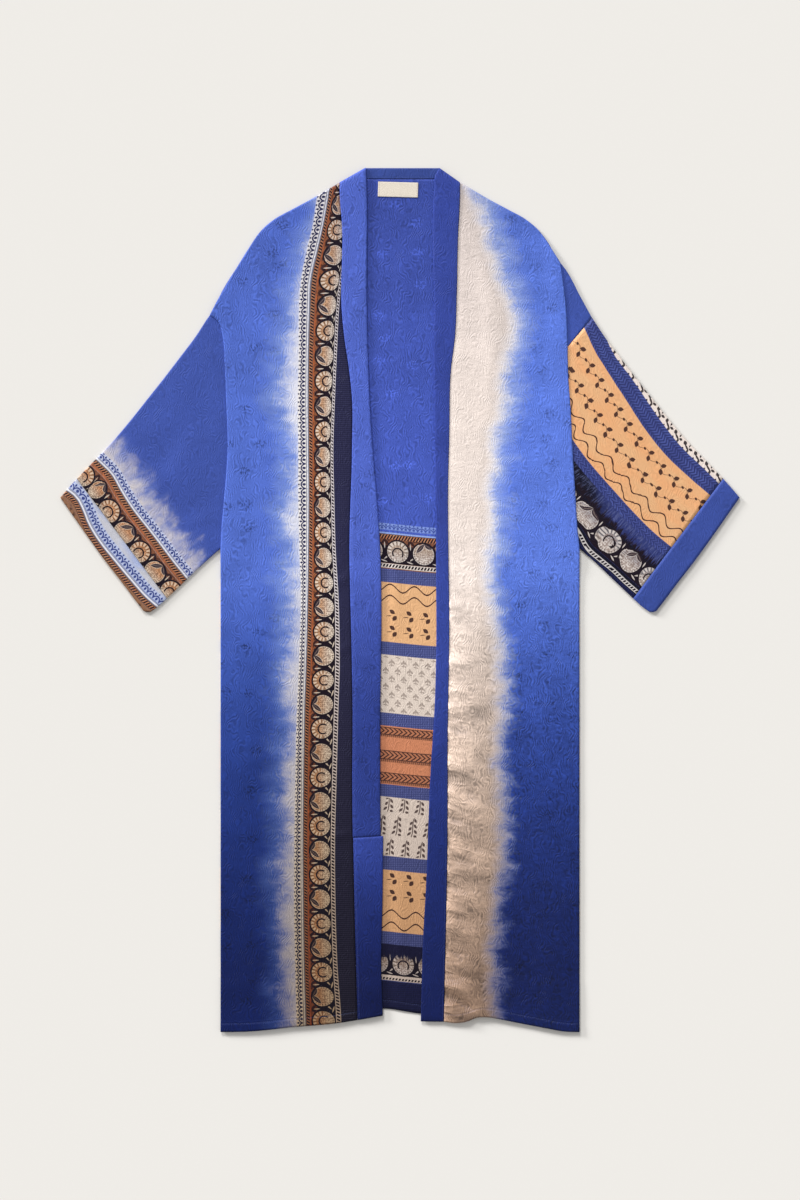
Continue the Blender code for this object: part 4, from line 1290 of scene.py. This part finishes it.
def makeBand(strip, seam, limits):
    seamCurve, foldCurve = curveThrough(reverse(seam)), curveThrough(reverse(strip["fold"]))
    low, high = limits
    width, height, endHeight = band["width"], band["height"], band["endHeight"]
    length = (high - low) * robe["bandLength"]
    columns = max(6, round(width / robe["step"]))
    rows = round(length / robe["step"])
    ring = stripRing(width, height, columns)

    def place(index, along):
        share, rise = ring[index]
        onSeam = seamCurve(low + (high - low) * along)
        x, y = onSeam.lerp(foldCurve(along), share)
        z = bandUnderside(x, y)
        if rise > 0.5:
            swell = math.sin(math.pi * share)
            z += lift(band["puckers"], x, y) + unevenness(x, y, *band["uneven"]) * swell
            z += band["plump"] * swell**0.5
        fromEnd = 1 - high + low + min(along, 1 - along) * length / band["endLength"]
        z += rise * (endHeight + (height - endHeight) * ease(fromEnd))
        seamAway = away(onSeam, (x, y))
        return (x, y, z), {"cloth": (x * mm, y * mm), "border": (seamAway * mm, (width - seamAway) * mm)}

    bm = clothGrid(range(len(ring)), steps(rows), place)
    piece = makePiece(strip["name"], bm, bandCloth(strip["name"] + " silk", strip), "blue_silk", closed=True)
    giveWall(piece, band["wall"], outwards=False)
    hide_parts(strip["node"])
    return piece


def makeBands():
    seam = shifted(bandSeamRight, robe["seam"] / 2)
    piecing = robe["sideKnot"] * 10 / 26  # the cross seam's share of the length
    gap = robe["seam"] / 2 / (seam[0].y - seam[-1].y)
    upper = makeBand(rightBand, seam, (piecing + gap, 1))
    lower = makeBand(rightBandLower, seam, (0, piecing - gap))
    left = makeBand(leftBand, shifted(bandSeamLeft, -robe["seam"] / 2), (0, 1))


neckBand = {
    "depth": 15.5, "height": 2.0, "wall": 0.6, "size": (15, 130), "silk": (61, 79, 149),
    "atHem": (0.8, 0.8, 0.8), "deepens": (420, 620), "weave": 0.08, "relief": 0.08, "sprigTone": 0.0,
    "shift": 290.0,
}


def makeNeckBand(material):
    half, low = neckSeam["half"], neckSeam["height"]
    right = line((-half, low), (bandFoldRight[0].x, bandFoldRight[0].y))
    left = line((half, low), (bandFoldLeft[0].x, bandFoldLeft[0].y))
    flat = panel(right, left, [right[0], left[0]], [right[1], left[1]])
    columns, rows = (round(size / robe["step"]) for size in neckBand["size"])
    ring = stripRing(neckBand["depth"], neckBand["height"], max(5, columns))

    def place(index, across):
        share, rise = ring[index]
        x, y = flat(across, share)
        border = (y - low) * mm, x * mm
        return (x, y, rise * neckBand["height"]), {"cloth": (x * mm, y * mm), "border": border}

    bm = clothGrid(range(len(ring)), steps(rows), place)
    piece = makePiece("neckBand", bm, material, "blue_silk", closed=True)
    giveWall(piece, neckBand["wall"], outwards=False)
    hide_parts("band_neck")


label = {
    "width": 58.0, "height": 21.5, "thickness": 0.7, "edge": 0.25, "stitches": 27.4, "x": -2.9, "y": 594.8,
    "turn": -1.5, "tape": "ivory", "thread": "creamLine",
}


def labelCloth():
    cloth = Cloth("label tape", roughness=0.6)
    x, y = cloth.map("cloth")
    weave = (x * 5.2).sine() * (y * 9.0).sine()
    colour = cloth.toned(label["tape"], weave * 0.03 + cloth.noise(x, y, 9, 6, 1.0) * 0.04 + 1.0)
    ends = abs(abs(x) - label["stitches"]).below(0.4, 0.2) * y.cell(2.4).near(0.0, 0.8, 0.2)
    cloth.reliefs += [(weave, 0.06), (ends, 0.15)]
    return cloth.finish(cloth.mix(colour, label["thread"], ends))


def makeLabel(material):
    turn = math.radians(label["turn"])

    def place(across, along):
        u, v = (across - 0.5) * label["width"], (along - 0.5) * label["height"]
        x = label["x"] + u * math.cos(turn) - v * math.sin(turn)
        y = label["y"] + u * math.sin(turn) + v * math.cos(turn)
        z = robe["onBack"] + 0.12 * math.cos(u / 11) * math.cos(v / 6) * (1 - abs(2 * across - 1)) + 0.12
        return (x, y, z), {"cloth": (u * mm, v * mm)}

    piece = makePiece("neckLabel", clothGrid(steps(40), steps(16), place), material, "label_tape")
    giveWall(piece, label["thickness"])
    edge = piece.modifiers.new("soft edge", "BEVEL")
    edge.width, edge.segments = label["edge"] * mm, 2
    edge.limit_method, edge.angle_limit = "ANGLE", math.radians(50)
    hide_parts("label")


# the sleeves. Trails are lines on the photograph, and rows are its pixels across the sleeve
rightSleeve = {
    "name": "rightSleeve", "node": "sleeve_right", "slot": "dipped_silk",
    # the row's first medallion, in pixels from the line's start
    "medallion": (16.2, 35.8), "shiftAlong": 1.2,
    # its border's rows, in mm from the photograph's line
    "rows": {"chain": -6.8, "comb": (3.6, 9.4), "brown": (9.8, 13.4), "medallions": 32.0, "pale": 48.6},
    "silk": (68, 88, 168), "weave": 0.1, "relief": 0.09, "sprigTone": 0.0, "shift": 444.0,
    "folds": creases(
        (-285, 375, -400, 190, 26, 1.3), (-280, 250, -375, 120, 22, 1.1), (-272, 130, -345, 60, 16, 0.9),
        (-462, 168, -432, 130, 15, 0.8), (-402, 92, -378, 56, 15, 0.9),
    ),
}
rightCuff = {
    "name": "rightCuff", "node": "cuff_right", "slot": "printed_silk", "chain": -9.2, "whiteLine": 1.3,
    "comb": (3.8, 9.4),
}
leftSleeve = {
    "name": "leftSleeve", "node": "sleeve_left", "slot": "printed_silk", "medallion": (16.4, 36.0),
    "rows": {
        "navy": (11, 78), "vines": (24.5, 45), "waves": (61, 72), "feathers": (88, 108),
        "shellRow": (89.5, 129.5), "lines": (117, 134, 137),
    },
    "folds": creases(
        (272, 330, 395, 200, 24, 1.4), (262, 250, 372, 120, 22, 1.2), (268, 130, 345, 52, 16, 0.9),
        (330, 300, 440, 168, 18, 0.9), (452, 158, 422, 112, 15, 0.8),
    ),
}
leftCuff = {
    "name": "leftCuff", "node": "cuff_left", "slot": "blue_silk", "silk": (68, 88, 168),
    # painted shade darkens this silk towards the hem
    "atHem": (0.8, 0.8, 0.8), "deepens": (420, 620), "weave": 0.09, "relief": 0.08, "sprigTone": 0.0,
    "shift": 290.0,
}
sleeveHead = {"name": "leftSleeveHead", "node": "sleeve_left_head", "slot": "blue_silk"}

rightSleeveLine = Trail(
    (98, 459), (113, 474), (122.2, 490.2), (134.7, 509.8), (149.6, 528.7), (160.2, 542.4), (174, 560.8),
    (188, 578),
)
rightCuffLine = Trail(
    (68.3, 490), (76.7, 496.7), (83.3, 508.3), (89.2, 523.3), (99.2, 540), (115, 560), (131.7, 580),
    (146.7, 596.7), (158.3, 606.7),
)
leftSleeveLines = [
    Trail(
        (590, 311), (602, 331), (613.5, 355), (630, 377), (641, 393), (652, 409.5), (681, 447.5),
        (706, 471.5), (718, 483.5),
    ),
    Trail(
        (570, 302), (584, 328), (596, 354), (605, 368), (615, 384), (625, 399), (635, 415), (645, 430),
        (668, 458), (687, 476), (708, 494),
    ),
    Trail((560, 420), (572, 439), (584, 456), (614, 491), (633, 512), (653, 532), (671, 547)),
    Trail((568, 496), (580, 510), (592.5, 525), (610, 541), (629, 560), (643, 573), (655, 585)),
    Trail((572, 522), (579, 533), (587.5, 549), (600, 560), (612.5, 570), (625, 582), (638, 593)),
]
leftSleeveLevels = (0.0, 11.0, 78.0, 118.0, 134.0)


def trailMaps(trail, shift=0.0):
    # the border's map where the print follows one line
    def maps(x, y):
        gap, run = trail.measure(*onPhoto(x, y))
        return {"border": (gap * pixel * mm, (run - shift) * pixel * mm)}

    return maps


def leftSleeveMaps(x, y):
    px, py = onPhoto(x, y)
    measured = [trail.measure(px, py) for trail in leftSleeveLines]
    gaps = [m[0] for m in measured]
    if gaps[0] < 0:
        level = leftSleeveLevels[0] + gaps[0]
    elif gaps[-1] >= 0:
        level = leftSleeveLevels[-1] + gaps[-1]
    else:
        i = next(k for k in range(len(gaps) - 1) if gaps[k + 1] < 0)
        share = gaps[i] / (gaps[i] - gaps[i + 1])
        level = leftSleeveLevels[i] + (leftSleeveLevels[i + 1] - leftSleeveLevels[i]) * share
    return {"border": (level * pixel * mm, measured[1][1] * pixel * mm)}


def plainMaps(x, y):
    return {"border": (x * mm, y * mm)}


def paleGround(cloth, d, s):
    return cloth.mix((204, 204, 212), "paleBlue", cloth.noise(d, s, 30, 60, 1.0, 3.0).above(0.15, 0.3) * 0.6)


def rightSleeveCloth():
    cloth, blue, _, (d, s), grass = blueCloth("dipped sleeve silk", rightSleeve)
    at = rightSleeve["rows"]
    fringe = strayed(cloth, d, s + 90.0) * 0.8 - d
    blotches = cloth.noise(d, s, 22, 15, 2.0, 9.0)
    colour = cloth.mix(blue, (140, 156, 214), fringe.below(30.0, 28.0) * 0.7)
    colour = cloth.mix(colour, (222, 212, 204), (fringe + blotches * 24.0).below(21.0, 26.0) * 0.85)
    colour = chainTrim(cloth, colour, d, s, at["chain"], (62, 74, 136), (196, 204, 232), size=1.15)
    border = comb(cloth, cloth.toned("white", 1.0), d, s, *at["comb"])
    border = cloth.mix(border, "slate", d.near(-0.9, 0.4, 0.25).either(d.near(2.0, 0.5, 0.25)) * 0.8)
    border = cloth.mix(border, mottled(cloth, d, s, "rust", "umber"), d.between(*at["brown"], 0.5))
    border = cloth.mix(border, "umber", d.above(at["brown"][1], 0.5))
    border = roundels(
        cloth, border, d - at["medallions"], s, *rightSleeve["medallion"], "umber", "tan", "sand",
    )
    border = cloth.mix(border, paleGround(cloth, d, s), d.above(at["pale"], 0.6))
    colour = cloth.mix(colour, cloth.toned(border, grass * 0.04 + 0.96), d.above(-1.0, 0.4))
    return cloth.finish(colour, grass * -0.04 + 0.44)


def rightCuffCloth():
    cloth = Cloth("printed cuff silk", roughness=0.46)
    (x, y), (d, s), (hemAway, run) = cloth.maps("cloth", "border", "hem")
    colour = cloth.toned(paleGround(cloth, d, s), cloth.noise(x, y, 5, 5, 2.0) * 0.12 + 0.97)
    colour = chainTrim(cloth, colour, d, s, rightCuff["chain"], (62, 74, 136), (186, 198, 232), size=1.35)
    colour = cloth.mix(colour, "white", d.near(0.0, rightCuff["whiteLine"], 0.3))
    colour = cloth.mix(colour, "slate", d.near(-1.8, 0.4, 0.3).either(d.near(1.7, 0.6, 0.3)) * 0.9)
    brown = cloth.mix(
        (150, 108, 80), "ink", cloth.noise(d, s, 6, 9, 2.0, 3.0).above(0.15, 0.2) * d.above(14.0, 3.0) * 0.8,
    )
    colour = cloth.mix(colour, brown, d.above(2.3, 0.4))
    colour = comb(cloth, colour, d, s, *rightCuff["comb"])
    cloth.reliefs.append((silkWeave(cloth, x, y), 0.05))
    return cloth.finish(stitchedHem(cloth, colour, hemAway, run, 6.0))


def leftSleeveCloth():
    cloth = Cloth("printed sleeve silk", roughness=0.46)
    (x, y), (d, s) = cloth.maps("cloth", "border")
    at = {name: [row * pixel for row in rows] for name, rows in leftSleeve["rows"].items()}
    shellLine, ladderLine, hemLine = at["lines"]
    grass = grassWeave(cloth, x + 151.0, y)
    colour = braidedBand(cloth, d, s, "navy", (52, 58, 108))
    stain = cloth.noise(d, s, 17, 60, 2.0, 8.0).above(0.0, 0.5) * 0.6
    colour = cloth.mix(colour, cloth.mix("peach", (242, 172, 118), stain), d.between(*at["navy"], 0.6))
    first, second = at["vines"]
    vines = leafVine(cloth, d - first, s, 25.2, 3.6).either(leafVine(cloth, d - second, s + 9.0, 25.2, 3.6))
    colour = cloth.mix(colour, "leaf", vines * 0.95)
    colour = cloth.mix(colour, "wave", waveLines(cloth, d, s, *at["waves"], 5.4, 32.5))
    strip = foldVine(cloth, cloth.toned("cream", 0.97), d + 4.2 * pixel, s)
    colour = cloth.mix(colour, strip, d.below(-0.4 * pixel, 0.5))
    ink, size = cloth.toned("ink", 1.0), leftSleeve["medallion"]
    shells = roundels(cloth, ink, d - shellLine, s, *size, "coal", "ash", "pearl")
    dark = cloth.mix((54, 62, 116), "coal", (x + cloth.noise(x, y, 20, 20, 1.0) * 16.0).below(292.0, 22.0))
    streaks = cloth.noise(s, d, 1.8, 12.0, 1.5, 5.0).above(0.12, 0.15)
    # worn threads by the hem
    dark = cloth.mix(dark, (120, 128, 176), streaks * d.above(90 * pixel, 4.0) * 0.3)
    shells = cloth.mix(dark, shells, feathers(cloth, d, s, at["feathers"][0] + 6.0, at["feathers"][1]))
    colour = cloth.mix(colour, shells, d.between(*at["shellRow"], 0.8))
    colour = cloth.mix(colour, "coal", d.between(at["shellRow"][1], hemLine, 0.4))
    colour = ladder(cloth, colour, d, s, ladderLine, 2.2, (214, 208, 204))
    colour = cloth.mix(colour, checks(cloth, s, d, (30, 30, 52), "navyThread", 2.9), d.above(hemLine, 0.6))
    cloth.reliefs += [(grass, 0.06), (silkWeave(cloth, x, y), 0.05)]
    return cloth.finish(cloth.toned(colour, grass * 0.05 + 1.0))


# how the sleeves' upper faces lie. A cell is measured in steps of the robe's grid
sleeveLay = {"cell": 1.25, "knot": 0.22, "uneven": (34, 0.25), "unevenInwards": (0, 0.1)}


def puff(share, along, folds, x, y):
    # the air in a sleeve, which is less towards its ends and edges
    between = math.sin(math.pi * min(1.0, max(0.0, share))) ** 0.7
    return between * ease(along / 0.12) * (0.5 + 0.5 * ease((1.1 - along) / 0.3)) * (0.7 + lift(folds, x, y))


def makeTube(tube, top, under, start, end, folds, reach, material, mapsOf):
    flat = panel(top, under, start, end, acrossKnots=(sleeveLay["knot"],))
    width = max(away(flat(0, a), flat(1, a)) for a in (0, 0.5, 1))
    length = (away(flat(0, 0), flat(0, 1)) + away(flat(1, 0), flat(1, 1))) / 2
    cell = sleeveLay["cell"] * robe["step"]
    columns = round(width / cell)
    count = len(foldedRing(width, robe["sleeveFold"], columns))

    def place(index, along):
        across = away(flat(0, along), flat(1, along))
        share, rise = foldedRing(across, robe["sleeveFold"], columns)[index]
        x, y = spot = flat(share, along)
        z = rise * robe["sleeveHeight"]
        if rise == 1.0:
            z += puff(share, reach[0] + (reach[1] - reach[0]) * along, folds, x, y)
            inwards = rising(min(share, 1 - share), *sleeveLay["unevenInwards"])
            z += unevenness(x, y, *sleeveLay["uneven"]) * inwards
        hem = away(flat(share, 1), spot) * mm, share * across * mm
        return (x, y, z), {"cloth": (x * mm, y * mm), "hem": hem, **mapsOf(x, y)}

    bm = clothGrid(range(count), steps(max(6, round(length / cell))), place)
    piece = makePiece(tube["name"], bm, material, tube["slot"], closed=True)
    giveWall(piece, robe["wall"], outwards=False)
    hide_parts(tube["node"])
    return piece


def shareNearest(places, target):
    curve = curveThrough(places)
    return min(steps(500), key=lambda share: away(curve(share), target))


def stretch(places, low, high, count):
    curve = curveThrough(places)
    return [Spot(*curve(share)) for share in steps(count, low, high)]


def nudged(spot, towards, distance):
    step = Vector((towards.x - spot.x, towards.y - spot.y)).normalized() * distance
    return Spot(spot.x + step.x, spot.y + step.y)


def parted(places, seamShare, count):
    before, after = stretch(places, 0, seamShare, count), stretch(places, seamShare, 1, 3)
    before[-1] = nudged(before[-1], before[-2], robe["seam"] / 2)
    after[0] = nudged(after[0], after[1], robe["seam"] / 2)
    return before, after


def fromOpening(spot, places):
    return [spot, *(p for p in places if away(p, spot) > robe["tuck"] / 2)]


def tuckedOpening(armhole, side):
    inner = rounded(shifted(armhole, -side * robe["tuck"]))
    return [*inner[:-1], Spot(inner[-1].x, robe["underarm"] + 4)]


def makeSleeve(side, opening, topStart, tube, cuffTube, materials, maps):
    flip = flipped if side < 0 else list
    top, under = flip(sleeveTop), flip(sleeveUnder)
    top = stretch(top, shareNearest(top, topStart), 1, 12)
    seamTop, seamUnder = flip(cuffSeam)
    top, cuffTop = parted(top, shareNearest(top, seamTop), 8)
    under, cuffUnder = parted(under, shareNearest(under, seamUnder), 4)
    top, under = fromOpening(opening[0], top), fromOpening(opening[-1], under)
    end, cuffStart = [top[-1], under[-1]], [cuffTop[0], cuffUnder[0]]
    sleeve = makeTube(tube, top, under, opening, end, tube["folds"], (0, 1), materials[0], maps[0])
    cuff = makeTube(
        cuffTube, cuffTop, cuffUnder, cuffStart, flip(cuffEdge), tube["folds"], (1, 1.2), materials[1],
        maps[1],
    )


def makeSleeves(dipped, dippedCuff, printed, plain):
    right = tuckedOpening(armholeRight, -1)
    right[0] = Spot(-269.2, 421.0)  # on the shoulder line, so that the outline runs on without a step
    maps = trailMaps(rightSleeveLine, rightSleeve["shiftAlong"]), trailMaps(rightCuffLine)
    makeSleeve(-1, right, armholeRight[0], rightSleeve, rightCuff, (dipped, dippedCuff), maps)
    left = tuckedOpening(armholeLeft, 1)
    headTop, headLow = headSeam
    seam = robe["seam"]
    besideHead = Spot(headTop.x + seam * 0.8, headTop.y - seam * 0.7)
    belowHead = Spot(headLow.x + seam, headLow.y - seam, True)
    opening = [besideHead, belowHead, *(p for p in left if p.y < headLow.y - 15)]
    makeSleeve(1, opening, headTop, leftSleeve, leftCuff, (printed, plain), (leftSleeveMaps, plainMaps))
    makeSleeveHead(left, plain)


def makeSleeveHead(opening, material):
    low = Spot(headSeam[1].x - robe["seam"], headSeam[1].y + robe["tuck"])
    start = [
        Spot(opening[0].x, opening[0].y + robe["tuck"]), *(p for p in opening[1:] if p.y > low.y + 5), low,
    ]
    top = [start[0], sleeveTop[0], sleeveTop[1], headSeam[0]]
    flat = panel(top, [low, headSeam[1]], start, headSeam)
    columns = max(8, round(60 / robe["step"]))

    def strip(width):
        fold = pressedFold(width, robe["sleeveFold"])
        face = steps(columns, fold[0][0], 1)[1:]
        return [*((s, 0.0) for s in reverse(face)), *fold, *((s, 1.0) for s in face)]

    def place(index, along):
        share, rise = strip(away(flat(0, along), flat(1, along)))[index]
        x, y = flat(share, along)
        flatMap = x * mm, y * mm
        return (x, y, rise * robe["sleeveHeight"]), {"cloth": flatMap, "border": flatMap, "hem": (1.0, 0.0)}

    bm = clothGrid(range(len(strip(100))), steps(max(6, round(60 / robe["step"]))), place)
    piece = makePiece(sleeveHead["name"], bm, material, sleeveHead["slot"])
    giveWall(piece, robe["wall"], outwards=False)
    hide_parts(sleeveHead["node"])


print("cloths")
backSilk, labelTape = backCloth(), labelCloth()
rightSilk, leftSatin = rightFrontCloth(), leftFrontCloth()
neckSilk, plainSilk = bandCloth("neck silk", neckBand), bandCloth("plain blue silk", leftCuff)
rightSleeveSilk, rightCuffSilk, leftSleeveSilk = rightSleeveCloth(), rightCuffCloth(), leftSleeveCloth()

makeBack(backSilk)
print("back laid")
makeFront(rightFront, rightSilk, rightFrontMaps)
makeFront(leftFront, leftSatin, leftFrontMaps)
print("fronts laid")
makeBands()
makeNeckBand(neckSilk)
makeLabel(labelTape)
print("bands and label laid")
makeSleeves(rightSleeveSilk, rightCuffSilk, leftSleeveSilk, plainSilk)
print("sleeves laid")

# floor, light and camera
studio = {
    "floor": (0.79, 0.768, 0.731), "air": 0.5, "cameraHeight": 4.108,
    # each light's strength, where it stands and its softness in degrees
    "lights": {"key": (2.24, (-0.25, 0.83, 0.5), 18.0), "rake": (3.0, (-0.75, 0.55, 0.24), 12.0)},
}


def makeFloor():
    bm = bmesh.new()
    bmesh.ops.create_grid(bm, x_segments=2, y_segments=2, size=4)
    bmesh.ops.translate(bm, verts=bm.verts, vec=(0, 0, -0.0003))
    mesh = bpy.data.meshes.new("floor")
    bm.to_mesh(mesh)
    bm.free()
    material = bpy.data.materials.new("pale floor")
    material.use_nodes = True
    shader = material.node_tree.nodes["Principled BSDF"]
    shader.inputs["Base Color"].default_value = (*studio["floor"], 1)
    shader.inputs["Roughness"].default_value = 0.9
    shader.inputs["Specular IOR Level"].default_value = 0.1
    mesh.materials.append(material)
    floor = bpy.data.objects.new("floor", mesh)
    bpy.context.scene.collection.objects.link(floor)


def makeLights():
    # a wide soft light from above the neck, and a low one from the left for the folds and the shadow
    for name, (strength, stand, softness) in studio["lights"].items():
        sun = bpy.data.lights.new(name, "SUN")
        sun.energy, sun.angle = strength, math.radians(softness)
        lamp = bpy.data.objects.new(name, sun)
        lamp.location = Vector(stand) * 5
        lamp.rotation_euler = (-Vector(stand)).to_track_quat("-Z", "Y").to_euler()
        bpy.context.scene.collection.objects.link(lamp)


def makeCamera():
    data = bpy.data.cameras.new("camera")
    data.lens, data.sensor_width, data.sensor_fit = 85.0, 36.0, "AUTO"
    camera = bpy.data.objects.new("camera", data)
    camera.location = (0, 0, studio["cameraHeight"])
    bpy.context.scene.collection.objects.link(camera)
    bpy.context.scene.camera = camera


makeFloor()
makeLights()
makeCamera()
world = bpy.data.worlds.new("studio")
world.use_nodes = True
world.node_tree.nodes["Background"].inputs["Color"].default_value = (1, 1, 1, 1)
world.node_tree.nodes["Background"].inputs["Strength"].default_value = studio["air"]
bpy.context.scene.world = world
bpy.context.scene.view_settings.view_transform = "Standard"
print("studio set")
